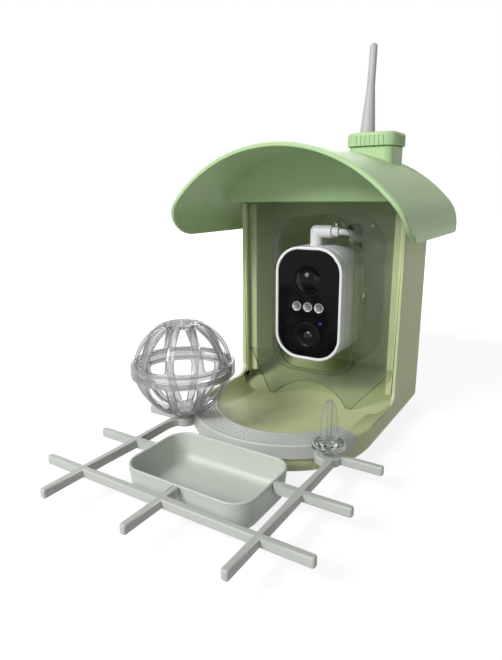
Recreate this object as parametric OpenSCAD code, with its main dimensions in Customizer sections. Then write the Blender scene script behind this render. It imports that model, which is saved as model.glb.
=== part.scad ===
// Smart bird feeder: a seed house with a clear window, a camera, an arched roof and a clip-on perch.
// Millimetres, +Z up. The origin lies on the base plane, midway between the side walls, in the plane
// of the walls' front lips. +Y runs to the back.

/* [House] */
// Outer width of the house
house_w = 142; // [138:1:148]
// Distance from the wall lips back to the rear face
house_rear = 66; // [64:1:70]
// Distance from the wall lips forward to the centre of the round tray
tray_reach = 48; // [46:1:50]
// Thickness of the walls
wall = 2.8; // [2.4:0.1:3.2]
// Height of the side walls
wall_h = 176; // [174:1:180]
// Height of the tray rim
rim_h = 23; // [22:0.5:24]
// Thickness of the tray rim
rim_w = 3; // [2.6:0.1:3.6]
// Height of the tray floor
floor_h = 12; // [11.5:0.5:13]
// Thickness of the tray floor
floor_t = 3; // [2.5:0.1:3.5]
// Radius of the flat tray floor
floor_r = 51; // [48:1:54]
// Rise of the hopper floor from its front edge to the rear wall
hopper_rise = 18; // [14:1:22]
// Distance of the hopper floor's front edge from the wall lips
hopper_lead = 8; // [7:0.5:10]
// Radius of the bottom edge
base_round = 13; // [11:0.5:13.5]
// Radius of the rear corners
corner_r = 4; // [3.5:0.5:8]
// Width of the ring that the base stands on
foot_w = 4; // [3:0.5:6]
// Radius of the sweep from each wall lip down to the rim
lip_sweep = 9; // [6:1:12]
// Width of each wall lip
lip_w = 4.2; // [4:0.1:5]
// Depth of each wall lip
lip_t = 3.6; // [3:0.1:4.2]
// Width of the rib behind the window groove
rib_w = 7.6; // [6:0.2:8]
// Depth of that rib
rib_t = 4; // [3:0.5:5]

/* [Window] */
// Thickness of the clear window
window_t = 2.5; // [2:0.1:3]
// Height at which the window's leaning foot starts
flap_top = 46; // [44:1:50]
// Half the distance between the tips of the window's foot
tip_x = 38; // [36:1:40]
// Height of the arch between the tips
arch_rise = 16; // [12:1:18]
// Wall of the niche round the camera
niche_wall = 1.8; // [1.4:0.1:2.2]
// Side gap between the niche and the camera
niche_gap = 6; // [5:0.5:7]
// Gap below the camera in the niche
niche_below = 12; // [10:1:12]
// Gap above the camera in the niche
niche_above = 22; // [20:1:24]
// Radius of the niche's upper corners
niche_top_r = 28; // [26:1:30]
// Radius of the niche's lower corners
niche_low_r = 18; // [14:1:20]
// How far the niche's rim stands in front of the wall lips
niche_proud = 7; // [5:0.5:8]

/* [Roof] */
// Width across the eaves
roof_w = 184; // [180:1:190]
// Height of the roof's top
roof_top = 216; // [214:1:218]
// Drop from the roof's top to the eaves
roof_drop = 64; // [63:0.5:67]
// Height of the upright edge at each eave
eave_edge = 6; // [4:1:8]
// Radius of the roof's main arch
roof_r = 112.5; // [111:0.5:114]
// Thickness of the roof
roof_t = 3.4; // [3:0.1:4]
// Distance from the wall lips to the roof's front edge
roof_front = 74; // [70:1:78]
// Overhang of the roof behind the rear face
roof_rear = 4; // [3:0.5:5]
// Radius of the lower front corners
roof_front_r = 30; // [26:1:34]
// Radius of the lower rear corners
roof_rear_r = 4; // [3:0.5:6]
// Distance from the wall lips to the front of the gable under the arch
gable_front = 15; // [13:1:17]
// Thickness of the gable
gable_t = 3; // [2.6:0.1:3.4]
// Gap between the wall tops and the gable's lower edge
gable_lift = 1; // [0.5:0.5:3]
// Width of each clip under the eaves
clip_w = 8; // [6:0.5:10]
// Thickness of each clip
clip_t = 2.5; // [2:0.1:3]
// Drop of each clip below the wall tops
clip_drop = 14; // [10:1:18]

/* [Refill cap] */
// Sideways offset of the refill neck
neck_x = 31; // [29:0.5:33]
// Distance of the refill neck behind the wall lips
neck_y = 42; // [38:0.5:44]
// Width of the cap
cap_w = 40; // [38:0.5:42]
// Depth of the cap
cap_d = 36; // [34:0.5:38]
// Height of the cap
cap_h = 10.2; // [9:0.1:12]
// Radius of the cap's corners
cap_r = 9; // [8:0.5:10]
// Wall of the cap
cap_wall = 2.4; // [2:0.1:2.6]
// Height of the neck's shoulder above the roof's top
neck_rise = 2.5; // [2:0.5:4]
// Wall of the neck
neck_wall = 2.4; // [2:0.1:2.8]
// Thickness of the cap's seal
seal_t = 1.7; // [1.5:0.1:2]
// Width of each grip rib
grip_w = 1.4; // [1:0.1:1.8]
// Height of each grip rib
grip_proud = 0.7; // [0.5:0.1:0.9]
// Spacing of the grip ribs
grip_step = 3.6; // [3:0.1:5]

/* [Camera] */
// Width of the camera
camera_w = 58; // [56:0.5:60]
// Height of the camera
camera_h = 92; // [90:0.5:93]
// Depth of the camera
camera_d = 50; // [48:0.5:51]
// Height of the camera's underside
camera_low = 51; // [50:0.5:52]
// Distance of the camera's face in front of the wall lips
camera_proud = 15; // [13:0.5:17]
// Radius of the camera's corners
camera_r = 21; // [19:0.5:22]
// Wall of the camera's shell
shell_t = 2.2; // [1.8:0.1:2.4]
// Depth of the front shell
front_d = 9.4; // [9:0.1:10.4]
// Thickness of the seal between the shells
case_seal_t = 1.2; // [0.8:0.1:1.6]
// Width of the white rim round the face
rim_white = 2.3; // [2:0.1:2.6]
// Depth of the face below the rim
face_deep = 0.8; // [0.6:0.1:1]
// Thickness of the face
face_t = 2; // [1.6:0.1:2.4]
// Height of the motion lens above the camera's centre
pir_up = 19.5; // [18:0.5:20]
// Radius of the motion lens
pir_r = 11.5; // [10.5:0.5:12]
// Height of the motion lens's dome
pir_dome = 6; // [5:0.5:7]
// Depth of the picture lens below the camera's centre
lens_down = 26.5; // [26:0.5:27.5]
// Radius of the picture lens's ring
lens_ring_r = 12.4; // [11.4:0.2:12.8]
// Radius of the picture lens's barrel
lens_barrel_r = 7.8; // [7:0.2:8.4]
// Radius of the picture lens's glass
lens_glass_r = 4.2; // [3.8:0.1:4.6]
// Spacing of the three lamps
led_step = 9.8; // [9.4:0.1:10.4]
// Radius of each lamp
led_r = 4; // [3.6:0.1:4.4]
// Depth of the lamps below the camera's centre
led_down = 2; // [1.5:0.5:3]
// Radius of the power button
button_r = 4; // [3.5:0.1:4.5]
// Travel of the power button
button_travel = 0.8; // [0.6:0.1:1]
// Radius of each battery cell
cell_r = 9.2; // [8.8:0.1:9.3]
// Length of each battery cell
cell_l = 65; // [60:1:66]

/* [Camera fixing] */
// Radius of the camera's fixing screw
stud_r = 3.1; // [3:0.05:3.175]
// Radius of the bracket's post
post_r = 8; // [7:0.5:9]
// Width of the bracket's plate
plate_w = 14; // [12:0.5:16]
// Thickness of the bracket's plate
plate_t = 3; // [2.5:0.1:3.5]
// Spacing of the bracket's screws
bracket_step = 32; // [28:1:34]
// Height of the bosses behind the bracket
boss_h = 6; // [5:0.5:7]

/* [Wall and pole fixing] */
// Spacing of the two wall screw holes
wall_hole_step = 36; // [34:1:40]
// Height of the wall screw holes
wall_hole_h = 94; // [90:1:98]
// Radius of the wall screw holes
wall_hole_r = 2.6; // [2.2:0.1:3]
// Radius of the bosses round the wall screw holes
wall_boss_r = 9; // [8:0.5:9.5]
// Height of those bosses
wall_boss_h = 5; // [4:0.5:6]
// Bore radius of the threaded pole insert
pole_r = 3.2; // [3:0.05:3.4]
// Wall of the pole insert
pole_wall = 1.4; // [1.2:0.1:1.8]
// Length of the pole insert
pole_l = 8; // [7:0.5:8.5]

/* [Antenna] */
// Sideways offset of the antenna
antenna_x = 8; // [6:0.5:10]
// Distance of the antenna's axis behind the rear face
antenna_back = 13; // [12:0.5:15]
// Height of the antenna's tip
antenna_top = 308; // [300:1:320]
// Radius of the antenna's lower part
antenna_r = 6.5; // [6:0.1:7]
// Radius of the antenna at its tip
antenna_tip_r = 3.15; // [2.8:0.05:3.4]
// Backward lean of the antenna on its hinge
antenna_lean = 5; // [0:0.5:8]
// Rise of the folding hinge over the mount's housing
fold_up = 21; // [20:0.5:23]
// Radius of the folding hinge's knuckle
knuckle_r = 6; // [5.5:0.1:6.4]
// Radius of the hinge pin
pin_r = 1.5; // [1.3:0.05:1.7]
// Thickness of the rod's tongue
tongue_t = 6; // [5:0.2:6.4]
// Radius of the swivel's stem
stem_r = 4; // [3.5:0.1:4.4]
// Top of the mount's housing
mount_top = 172; // [170:0.5:173]
// Width of the mount's housing
mount_w = 26; // [24:0.5:28]
// Depth of the mount's housing
mount_d = 24; // [23:0.5:26]
// Height of the mount's housing
mount_h = 32; // [30:0.5:34]
// Wall of the mount's housing
mount_wall = 2.5; // [2:0.1:2.8]
// Thickness of the mount's top
mount_cap = 4; // [3.5:0.1:4.5]
// Width of each lug on the mount's housing
lug_w = 8; // [7:0.5:9]

/* [Antenna lead] */
// Radius of the lead
lead_r = 2.5; // [2:0.1:2.7]
// Radius of the grommet's neck
grommet_r = 6; // [5:0.1:6.5]
// Radius of the plug's barrel
plug_r = 5; // [4.5:0.1:5.4]
// Length of the plug's barrel
plug_l = 19; // [17:0.5:20]
// Length of the plug's strain relief
relief_l = 5.5; // [4:0.5:6]
// Sideways offset of the plug's stem
plug_x = -2; // [-3:0.5:-1]
// Distance of the plug's stem behind the wall lips
plug_y = 4; // [4:0.5:4.5]
// Height of the barrel's axis above the camera
plug_up = 11; // [10.5:0.5:11.5]

/* [Perch] */
// Inner radius of the perch ring
ring_in = 54; // [52:0.5:56]
// Thickness of the perch ring
ring_t = 2; // [1.6:0.1:2.4]
// Radius of the ring's outer edge
ring_edge = 1.4; // [1:0.1:1.5]
// Thickness of the ring's apron
apron_t = 2; // [1.6:0.1:2.4]
// Height of the apron's lower edge
apron_low = 15; // [14.5:0.5:16]
// Half the angle that the ring spans
ring_half = 69; // [64:1:74]
// Number of grooves on the ring
groove_count = 6; // [4:1:7]
// Width of each groove
groove_w = 0.9; // [0.7:0.1:1.2]
// Width and depth of the drain notch in the apron
notch_w = 4; // [3:0.5:5]
// Height of the bars' top
bar_top = 21; // [20:0.5:22]
// Width of the bars
bar_w = 4.4; // [4.2:0.1:5.2]
// Height of the bars
bar_h = 6; // [5.6:0.1:7]
// Corner radius of the bars' ends
bar_end_r = 1.6; // [1:0.1:2]
// Sideways offset of the long bars
bar_x = 63.4; // [62:0.2:66]
// Distance of the front bar from the wall lips
front_bar = 195; // [194:1:200]
// Distance of the middle bar from the wall lips
middle_bar = 149; // [148:1:150]
// Distance of the back bar from the wall lips
back_bar = 99; // [97:0.5:101]
// Sideways overhang of the cross bars
bar_over = 31.5; // [28:0.5:34]
// Forward overhang of the long bars
bar_front = 30; // [26:0.5:34]
// Radius of the fillets at the back bar
bar_fillet = 17; // [14:0.5:18]
// Inward offset of the seats from the long bars
seat_in = 4.4; // [4:0.1:4.8]
// Distance of the seats in front of the back bar
seat_ahead = 1.5; // [1:0.1:2]
// Radius of the seats for the ball and the spike
seat_r = 9; // [8:0.5:10]
// Radius of the pegs that stand in the seats
peg_r = 2.5; // [2:0.1:3]
// Length of the pegs
peg_l = 5.5; // [4:0.5:6]

/* [Bowl] */
// Length of the bowl
bowl_l = 93; // [90:1:96]
// Width of the bowl
bowl_w = 60; // [58:0.5:62]
// Corner radius of the bowl
bowl_r = 14; // [12:0.5:16]
// Wall of the bowl
bowl_wall = 2; // [1.6:0.1:2.4]
// Depth of the bowl
bowl_depth = 21; // [18:0.5:22]
// Inward lean of the bowl's sides
bowl_lean = 2; // [1:0.5:4]
// Height of the bowl's rim above the bars
bowl_proud = 0.4; // [0:0.1:2]
// Length of each lug that hangs the bowl on a bar
hook_l = 7; // [6:0.5:8]
// Width of each lug
hook_w = 2.2; // [1.8:0.1:2.4]
// Thickness of each lug
hook_t = 3.5; // [3:0.1:4]

/* [Food ball] */
// Outer radius of the ball
ball_r = 36; // [34:0.5:37]
// Thickness of the ball's ribs
ball_t = 2.5; // [2:0.1:3]
// Width of each rib
ball_rib = 5.6; // [5:0.2:6.4]
// Number of ribs round the ball
ball_ribs = 10; // [6:2:10]
// Turn of the first rib from the sideways direction
ball_turn = 5.5; // [0:0.5:18]
// Radius of the ball's two rims
ball_rim_r = 38.2; // [37.6:0.2:39]
// Height of each rim
ball_rim_h = 5; // [4:0.5:6]
// Radius of the flat cap at each pole
ball_cap_r = 12.5; // [11:0.5:14]
// Gap between the perch ring's top and the cap under the ball
ball_clear = 0.4; // [0.3:0.1:2]
// Radius of the foot below the ball
ball_foot_r = 5.2; // [4.6:0.1:5.3]

/* [Fruit spike] */
// Gap between the perch ring's top and the spike's base
spike_clear = 0.4; // [0.3:0.1:2]
// Radius of the foot below the spike
spike_foot_r = 5.2; // [4.6:0.1:5.3]
// Radius of the spike's base
spike_base_r = 11; // [10:0.5:12]
// Height of the spike's base
spike_base_h = 6; // [5:0.5:7]
// Height of the spike above its base
spike_h = 27.5; // [25:0.5:31]
// Radius at the foot of the spike
spike_r = 6.2; // [5.6:0.1:7]
// Thickness of the spike's fins
spike_fin = 2.4; // [2:0.1:3]

/* [Fits] */
// Gap between pieces that lift apart
lift_gap = 0.3; // [0.2:0.05:0.5]
// Radial gap of a running fit
run_gap = 0.05; // [0.02:0.01:0.09]

/* [Hidden] */
$fn = 64;
// A length past any face that a cut has to clear
past = 1;
// Half the span of cuts that cross the whole part
far = 400;

// House
house_r = house_w / 2;
wall_in = house_r - wall;
rear_in = house_rear - wall;
tray_rim_r = house_r - rim_w;
dish_run = tray_rim_r - floor_r;
dish_drop = rim_h - floor_h;
dish_r = (dish_run * dish_run + dish_drop * dish_drop) / (2 * dish_drop);
groove_low = rim_h + 2;
window_y = lip_t + lift_gap;
rib_y = window_y + window_t + lift_gap;
pole_boss_r = pole_r + pole_wall + 4;

// Window
window_x = wall_in - lift_gap;
window_mid = window_y + window_t / 2;
flap_drop = flap_top - floor_h - 2 * lift_gap - window_t / 4;
flap_run = window_mid + hopper_lead;
flap_lean = atan(flap_run / flap_drop);
flap_l = sqrt(flap_drop * flap_drop + flap_run * flap_run);
flap_x = house_r - lip_w - 2 * lift_gap;
arch_half = tip_x - 5;
arch_r = (arch_half * arch_half + arch_rise * arch_rise) / (2 * arch_rise);
niche_x = camera_w / 2 + niche_gap;
niche_low = camera_low - niche_below;
niche_top = camera_low + camera_h + niche_above;

// Roof
roof_x = roof_w / 2;
arch_z = roof_top - roof_r;
eave_h = roof_top - roof_drop;
shoulder_z = eave_h + eave_edge;
shoulder_up = shoulder_z - arch_z;
shoulder_r = (roof_r * roof_r - roof_x * roof_x - shoulder_up * shoulder_up) / (2 * (roof_r - roof_x));
shoulder_x = roof_x - shoulder_r;
collar_h = wall_h + lift_gap;
shoulder_h = roof_top + neck_rise;

// Refill cap
cap_low = shoulder_h + lift_gap;
cap_top = cap_low + cap_h;
spigot_gap = 0.4;
spigot_w = cap_w - 2 * cap_wall - 2 * spigot_gap;
spigot_d = cap_d - 2 * cap_wall - 2 * spigot_gap;
spigot_r = cap_r - cap_wall - spigot_gap;
shoulder_step = 1;
seal_low = cap_top - cap_wall - seal_t;
spigot_top = seal_low - lift_gap;

// Camera
face_y = -camera_proud;
camera_back_y = face_y + camera_d;
camera_z = camera_low + camera_h / 2;
camera_high = camera_low + camera_h;
seam_y = face_y + front_d;
back_y = seam_y + case_seal_t;
panel_y = face_y + face_deep;
board_y = seam_y - 0.6;
board_t = 1.6;
case_post_r = 3.2;
case_screw_in = camera_r - (camera_r - shell_t - case_post_r + lift_gap) / sqrt(2);
case_screw_x = camera_w / 2 - case_screw_in;
case_screw_z = camera_h / 2 - case_screw_in;
case_hole_r = 1.1;
stud_in = 8;
led_z = camera_z - led_down;
lens_z = camera_z - lens_down;
pir_z = camera_z + pir_up;
pir_ball_r = (pir_r * pir_r + pir_dome * pir_dome) / (2 * pir_dome);
status_x = 11.5;
status_z = camera_z - 14.6;
status_r = 1.2;
// Sideways offset, height above the camera's centre and radius of each small port in the face
ports = [[-14, -11.4, 1.2], [-17.5, -25, 1.2], [2, 5, 0.7]];
cell_x = cell_r + lift_gap;
cell_y = camera_back_y - stud_in - cell_r - lift_gap;
button_y = 8;
button_proud = button_travel + 0.4;

// Camera fixing
plate_y = rear_in - boss_h - plate_t;
bracket_hole_r = 1.4;

// Antenna
antenna_y = house_rear + antenna_back;
collar_r = 7;
collar_t = 7;
ear_t = 2.6;
fold_h = mount_top + fold_up;
rod_low = fold_h + knuckle_r + 1;
taper_low = 236;
taper_high = 273;
taper_r = 3.5;
lug_t = 3;
lug_x = mount_w / 2 + lug_w / 2;
lug_z = mount_top - mount_h / 2;
mount_hole_r = 1.6;

// Antenna lead: points chosen by hand, from the plug's strain relief to the foot of the antenna
plug_z = camera_high + plug_up;
plug_low = plug_x - plug_r;
relief_x = plug_low + plug_l;
lead_start = relief_x + relief_l;
lead_h = plug_z - 4;
LEAD = [[lead_start, plug_y, plug_z], [21, 4.6, plug_z], [25, 8, plug_z - 1],
  [27.4, 15, plug_z - 3.5], [26.4, 23, plug_z - 6], [22.5, 32, plug_z - 8], [17, 40, plug_z - 10],
  [12, 46, plug_z - 10], [9.4, 51, plug_z - 8], [antenna_x + 0.2, 55.5, lead_h - 1.5],
  [antenna_x, 60, lead_h - 0.2], [antenna_x, house_rear, lead_h], [antenna_x, antenna_y - 8, lead_h + 1],
  [antenna_x, antenna_y - 3, lead_h + 4.5], [antenna_x, antenna_y - 0.4, lead_h + 9],
  [antenna_x, antenna_y, lead_h + 13]];
lead_sides = 10;
lead_steps = 2;

// Perch
tray_y = -tray_reach;
ring_low = rim_h + lift_gap;
ring_top = ring_low + ring_t;
apron_in = house_r + lift_gap;
ring_out = apron_in + apron_t;
groove_step = (ring_out - ring_in - 4) / groove_count;
bar_low = bar_top - bar_h;
bar_reach = bar_x + bar_over;
bar_tip = front_bar + bar_front;
stub_x = bowl_l / 2 + lift_gap;

// Bowl, ball and spike
bowl_rim = bar_top + bowl_proud;
bowl_y = tray_y - ring_out - 2 * lift_gap - bowl_w / 2;
bowl_front = bowl_w / 2 - bowl_y;
hook_low = bar_top - hook_t;
seat_z = bar_top + lift_gap;
pole_z = sqrt(ball_r * ball_r - ball_cap_r * ball_cap_r);
ball_foot_h = ring_top + ball_clear - seat_z;
ball_z = seat_z + ball_foot_h + pole_z;
seat_x = bar_x - seat_in;
seat_y = -back_bar - seat_ahead;
spike_foot = ring_top + spike_clear - seat_z;

// Colours
leaf_green = "#a9c48f";
pale_olive = "#b7bf95";
warm_grey = "#b9bcb5";
bowl_grey = "#bec5bb";
clear_tint = [0.86, 0.89, 0.87, 0.4];
shell_white = "#e8e8ea";
gloss_black = "#0b0a0c";
steel = "#b4b6b8";

// Helpers

module both_sides() {
  children();
  mirror([1, 0, 0]) children();
}

// Extrudes a shape drawn in Y and Z along X, about the middle
module along_x(length) {
  rotate([90, 0, 90]) linear_extrude(length, center = true) children();
}

// Extrudes a shape drawn in X and Z along Y
module along_y(from, to) {
  translate([0, to, 0]) rotate([90, 0, 0]) linear_extrude(to - from) children();
}

// A round bar along Y
module rod_y(x, z, from, to, r) {
  translate([x, to, z]) rotate([90, 0, 0]) cylinder(r = r, h = to - from);
}

module rounded_rect(w, h, r) {
  square([w - 2 * r, h], center = true);
  square([w, h - 2 * r], center = true);
  for (sx = [-1, 1], sy = [-1, 1])
    translate([sx * (w / 2 - r), sy * (h / 2 - r)]) circle(r);
}

// A pan-head screw whose head faces -Y, with the head's seat at y = 0
module pan_screw(head_r, head_h, shank_r, length) {
  difference() {
    rotate([90, 0, 0]) cylinder(r = head_r, h = head_h);
    for (turn = [0, 90])
      translate([0, -head_h, 0]) rotate([0, turn, 0]) cube([head_r * 1.2, head_h, 0.7], center = true);
  }
  rod_y(0, 0, 0, length, shank_r);
}

// House

// Plan of the house, drawn in by an inset
module house_plan(inset) {
  r = house_r - inset;
  straight = tray_reach + house_rear;
  translate([0, tray_y]) circle(r);
  translate([-r, tray_y]) square([2 * r, straight - corner_r]);
  translate([-(house_r - corner_r), tray_y]) square([2 * (house_r - corner_r), straight - inset]);
  both_sides() translate([house_r - corner_r, house_rear - corner_r]) circle(corner_r - inset);
}

// Half of the base's cross-section, with its rounded bottom edge
module base_edge(r) {
  square([r - base_round, base_round]);
  intersection() {
    translate([r - base_round, base_round]) circle(base_round);
    translate([r - base_round, 0]) square(base_round);
  }
}

module base_block() {
  translate([0, tray_y, 0]) rotate([0, 0, 180]) rotate_extrude(angle = 180) base_edge(house_r);
  intersection() {
    along_y(tray_y, house_rear) {
      base_edge(house_r);
      mirror([1, 0]) base_edge(house_r);
    }
    linear_extrude(base_round) house_plan(0);
  }
}

// Everything above the tray rim and in front of the wall lips, with a sweep where they meet
module porch_cut() {
  along_x(house_w + 2 * past) difference() {
    translate([-far, rim_h]) square([far, far]);
    difference() {
      translate([-lip_sweep, rim_h]) square(lip_sweep);
      translate([-lip_sweep, rim_h + lip_sweep]) circle(lip_sweep);
    }
  }
}

module dish_section() {
  translate([0, floor_h]) square([floor_r, 2 * dish_r]);
  intersection() {
    translate([floor_r, floor_h + dish_r]) circle(dish_r);
    translate([floor_r, floor_h]) square([dish_run, 2 * dish_r]);
  }
}

module tray_cut() {
  translate([0, tray_y, 0]) rotate([0, 0, 180]) rotate_extrude(angle = 180) dish_section();
  along_y(tray_y, -hopper_lead) {
    dish_section();
    mirror([1, 0]) dish_section();
  }
}

module hopper_cut() {
  intersection() {
    linear_extrude(wall_h + past) house_plan(wall);
    along_x(house_w)
      polygon([[-hopper_lead, floor_h], [rear_in, floor_h + hopper_rise], [rear_in, wall_h + past],
        [-hopper_lead, wall_h + past]]);
  }
}

// The hollow under the floor, leaving the foot ring and the boss for the pole insert
module under_cut() {
  inset = base_round + foot_w;
  r = house_r - inset;
  rear = house_rear - inset;
  ceiling = floor_h - floor_t;
  rise = hopper_rise * (rear + hopper_lead) / (rear_in + hopper_lead);
  difference() {
    union() {
      translate([0, 0, -past]) linear_extrude(past + ceiling) {
        translate([0, tray_y]) circle(r);
        translate([-r, tray_y]) square([2 * r, tray_reach]);
      }
      along_x(2 * r)
        polygon([[-hopper_lead, -past], [-hopper_lead, ceiling], [rear, ceiling + rise], [rear, -past]]);
    }
    translate([0, 0, -2 * past]) cylinder(r = pole_boss_r, h = floor_h + hopper_rise);
  }
}

module house_walls() {
  color(pale_olive) difference() {
    union() {
      difference() {
        translate([0, 0, rim_h]) linear_extrude(wall_h - rim_h) difference() {
          house_plan(0);
          house_plan(wall);
        }
        porch_cut();
      }
      both_sides() {
        translate([house_r - lip_w, 0, groove_low]) cube([lip_w, lip_t, wall_h - groove_low]);
        translate([wall_in - rib_w, rib_y, groove_low]) cube([rib_w + past, rib_t, wall_h - groove_low]);
        rod_y(wall_hole_step / 2, wall_hole_h, rear_in - wall_boss_h, rear_in + past, wall_boss_r);
      }
      for (s = [-1, 1])
        rod_y(0, camera_z + s * bracket_step / 2, rear_in - boss_h, rear_in + past, 4);
    }
    both_sides() rod_y(wall_hole_step / 2, wall_hole_h, rear_in - far, house_rear + past, wall_hole_r);
    for (s = [-1, 1]) {
      rod_y(0, camera_z + s * bracket_step / 2, rear_in - boss_h - past, rear_in, bracket_hole_r);
      rod_y(antenna_x + s * lug_x, lug_z, rear_in - past, house_rear + past, mount_hole_r);
    }
    rod_y(antenna_x, lead_h, rear_in - past, house_rear + past, grommet_r + run_gap);
  }
}

module house_base() {
  color(pale_olive) difference() {
    union() {
      base_block();
      translate([0, 0, base_round]) linear_extrude(rim_h - base_round) house_plan(0);
      translate([0, 0, rim_h - past]) linear_extrude(floor_h + hopper_rise + past - rim_h) intersection() {
        house_plan(wall);
        translate([-house_r, rib_y]) square([house_w, house_rear]);
      }
    }
    tray_cut();
    hopper_cut();
    under_cut();
    translate([0, 0, -past]) cylinder(r = pole_r + pole_wall + run_gap, h = past + pole_l);
  }
}

module pole_insert() {
  color("#c9a85c") difference() {
    cylinder(r = pole_r + pole_wall, h = pole_l);
    translate([0, 0, -past]) cylinder(r = pole_r, h = pole_l + 2 * past);
  }
}

// Window

module niche_outline(grow) {
  x = niche_x + grow;
  top_r = niche_top_r + grow;
  low_r = niche_low_r + grow;
  top = niche_top + grow;
  low = niche_low - grow;
  translate([-x, low + low_r]) square([2 * x, top - top_r - low - low_r]);
  translate([-(x - top_r), low]) square([2 * (x - top_r), top - low]);
  translate([-(x - low_r), low]) square([2 * (x - low_r), low_r]);
  both_sides() {
    translate([x - top_r, top - top_r]) circle(top_r);
    translate([x - low_r, low + low_r]) circle(low_r);
  }
}

// The leaning foot: slanted sides end in two tips, with an arch between them
module flap_outline() {
  difference() {
    polygon([[-flap_x, window_t / 4], [flap_x, window_t / 4], [tip_x, -flap_l], [-tip_x, -flap_l]]);
    translate([0, arch_rise - flap_l - arch_r]) circle(arch_r);
  }
}

module seed_window() {
  color(clear_tint) difference() {
    union() {
      along_y(window_y, window_y + window_t)
        translate([-window_x, flap_top]) square([2 * window_x, wall_h - lift_gap - flap_top]);
      translate([0, window_mid, flap_top]) rotate([-flap_lean, 0, 0])
        along_y(-window_t / 2, window_t / 2) flap_outline();
    }
    along_y(-niche_proud - past, rear_in + past) niche_outline(niche_wall);
  }
}

module camera_niche() {
  color(clear_tint) along_y(-niche_proud, rear_in - lift_gap) difference() {
    niche_outline(niche_wall);
    niche_outline(0);
  }
}

// Roof

// The arch's cross-section, drawn in by an inset, down to a given height
module arch_outline(inset, low) {
  reach = 2 * roof_r;
  lean = [shoulder_x, shoulder_up] / norm([shoulder_x, shoulder_up]);
  intersection() {
    translate([-reach, low]) square(2 * reach);
    union() {
      intersection() {
        translate([0, arch_z]) circle(roof_r - inset, $fn = 128);
        translate([0, arch_z]) polygon([[0, 0], lean * reach, [0, reach], [-lean[0], lean[1]] * reach]);
      }
      both_sides() translate([shoulder_x, shoulder_z]) circle(shoulder_r - inset);
      translate([-(roof_x - inset), low]) square([2 * (roof_x - inset), shoulder_z - low]);
    }
  }
}

// Side view of the roof: rounded lower corners at the front and the rear
module roof_side() {
  rear = house_rear + roof_rear;
  span = roof_front + rear;
  middle_z = eave_h + roof_front_r;
  translate([-roof_front, middle_z]) square([span, far]);
  translate([-roof_front + roof_front_r, eave_h]) square([span - roof_front_r - roof_rear_r, far]);
  translate([-roof_front + roof_front_r, middle_z]) circle(roof_front_r);
  translate([rear - roof_rear_r, eave_h + roof_rear_r]) circle(roof_rear_r);
  translate([rear - roof_rear_r, eave_h + roof_rear_r]) square([roof_rear_r, far]);
}

module neck_outline(w, d, r) {
  translate([neck_x, neck_y]) rounded_rect(w, d, r);
}

// What stands on the walls inside the arch: a rib on each side wall, the rear gable and the clips
module roof_collar() {
  intersection() {
    along_y(-roof_front, house_rear) arch_outline(roof_t / 2, collar_h - clip_drop - past);
    union() {
      both_sides() {
        translate([wall_in, -gable_front + gable_t / 2, collar_h])
          cube([wall, house_rear + gable_front - gable_t, far]);
        translate([wall_in, lip_t, collar_h]) cube([wall + lift_gap + clip_t, clip_w, far]);
        translate([house_r + lift_gap, lip_t, collar_h - clip_drop]) cube([clip_t, clip_w, far]);
      }
      translate([-house_r, rear_in, collar_h]) cube([house_w, wall, far]);
    }
  }
}

module roof() {
  rear = house_rear + roof_rear;
  gable_low = wall_h + gable_lift;
  color(leaf_green) difference() {
    union() {
      intersection() {
        along_y(-roof_front, rear) difference() {
          arch_outline(0, eave_h);
          arch_outline(roof_t, eave_h - past);
        }
        along_x(roof_w + 2 * past) roof_side();
      }
      along_y(-gable_front, -gable_front + gable_t) arch_outline(roof_t / 2, gable_low);
      roof_collar();
      intersection() {
        translate([0, 0, wall_h]) linear_extrude(shoulder_h - wall_h)
          neck_outline(spigot_w + 2 * shoulder_step, spigot_d + 2 * shoulder_step, spigot_r + shoulder_step);
        difference() {
          translate([-far, -far, wall_h]) cube(2 * far);
          along_y(-roof_front, rear) arch_outline(roof_t / 2, wall_h - past);
        }
      }
      translate([0, 0, shoulder_h - shoulder_step])
        linear_extrude(spigot_top - shoulder_h + shoulder_step) neck_outline(spigot_w, spigot_d, spigot_r);
    }
    translate([0, 0, wall_h]) linear_extrude(spigot_top - wall_h + past)
      neck_outline(spigot_w - 2 * neck_wall, spigot_d - 2 * neck_wall, spigot_r - neck_wall);
  }
}

// Refill cap

module cap_grips(length, offset, turn) {
  count = floor(length / grip_step / 2);
  for (i = [-count:count], side = [-1, 1])
    translate([neck_x, neck_y, cap_low]) rotate([0, 0, turn])
      translate([i * grip_step - grip_w / 2, side * offset - grip_proud, 0])
        cube([grip_w, 2 * grip_proud, cap_h - 2]);
}

module refill_cap() {
  color(leaf_green) difference() {
    union() {
      translate([0, 0, cap_low]) linear_extrude(cap_h) neck_outline(cap_w, cap_d, cap_r);
      cap_grips(cap_w - 2 * cap_r, cap_d / 2, 0);
      cap_grips(cap_d - 2 * cap_r, cap_w / 2, 90);
    }
    translate([0, 0, cap_low - past]) linear_extrude(cap_h - cap_wall + past)
      neck_outline(cap_w - 2 * cap_wall, cap_d - 2 * cap_wall, cap_r - cap_wall);
  }
}

module cap_seal() {
  color("#4a4d49") translate([0, 0, seal_low]) linear_extrude(seal_t) difference() {
    neck_outline(cap_w - 2 * cap_wall, cap_d - 2 * cap_wall, cap_r - cap_wall);
    neck_outline(spigot_w - 2 * neck_wall, spigot_d - 2 * neck_wall, spigot_r - neck_wall);
  }
}

// Camera

module camera_outline(inset) {
  translate([0, camera_z]) rounded_rect(camera_w - 2 * inset, camera_h - 2 * inset, camera_r - inset);
}

module case_corners() {
  for (sx = [-1, 1], sz = [-1, 1])
    translate([sx * case_screw_x, 0, camera_z + sz * case_screw_z]) children();
}

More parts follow.
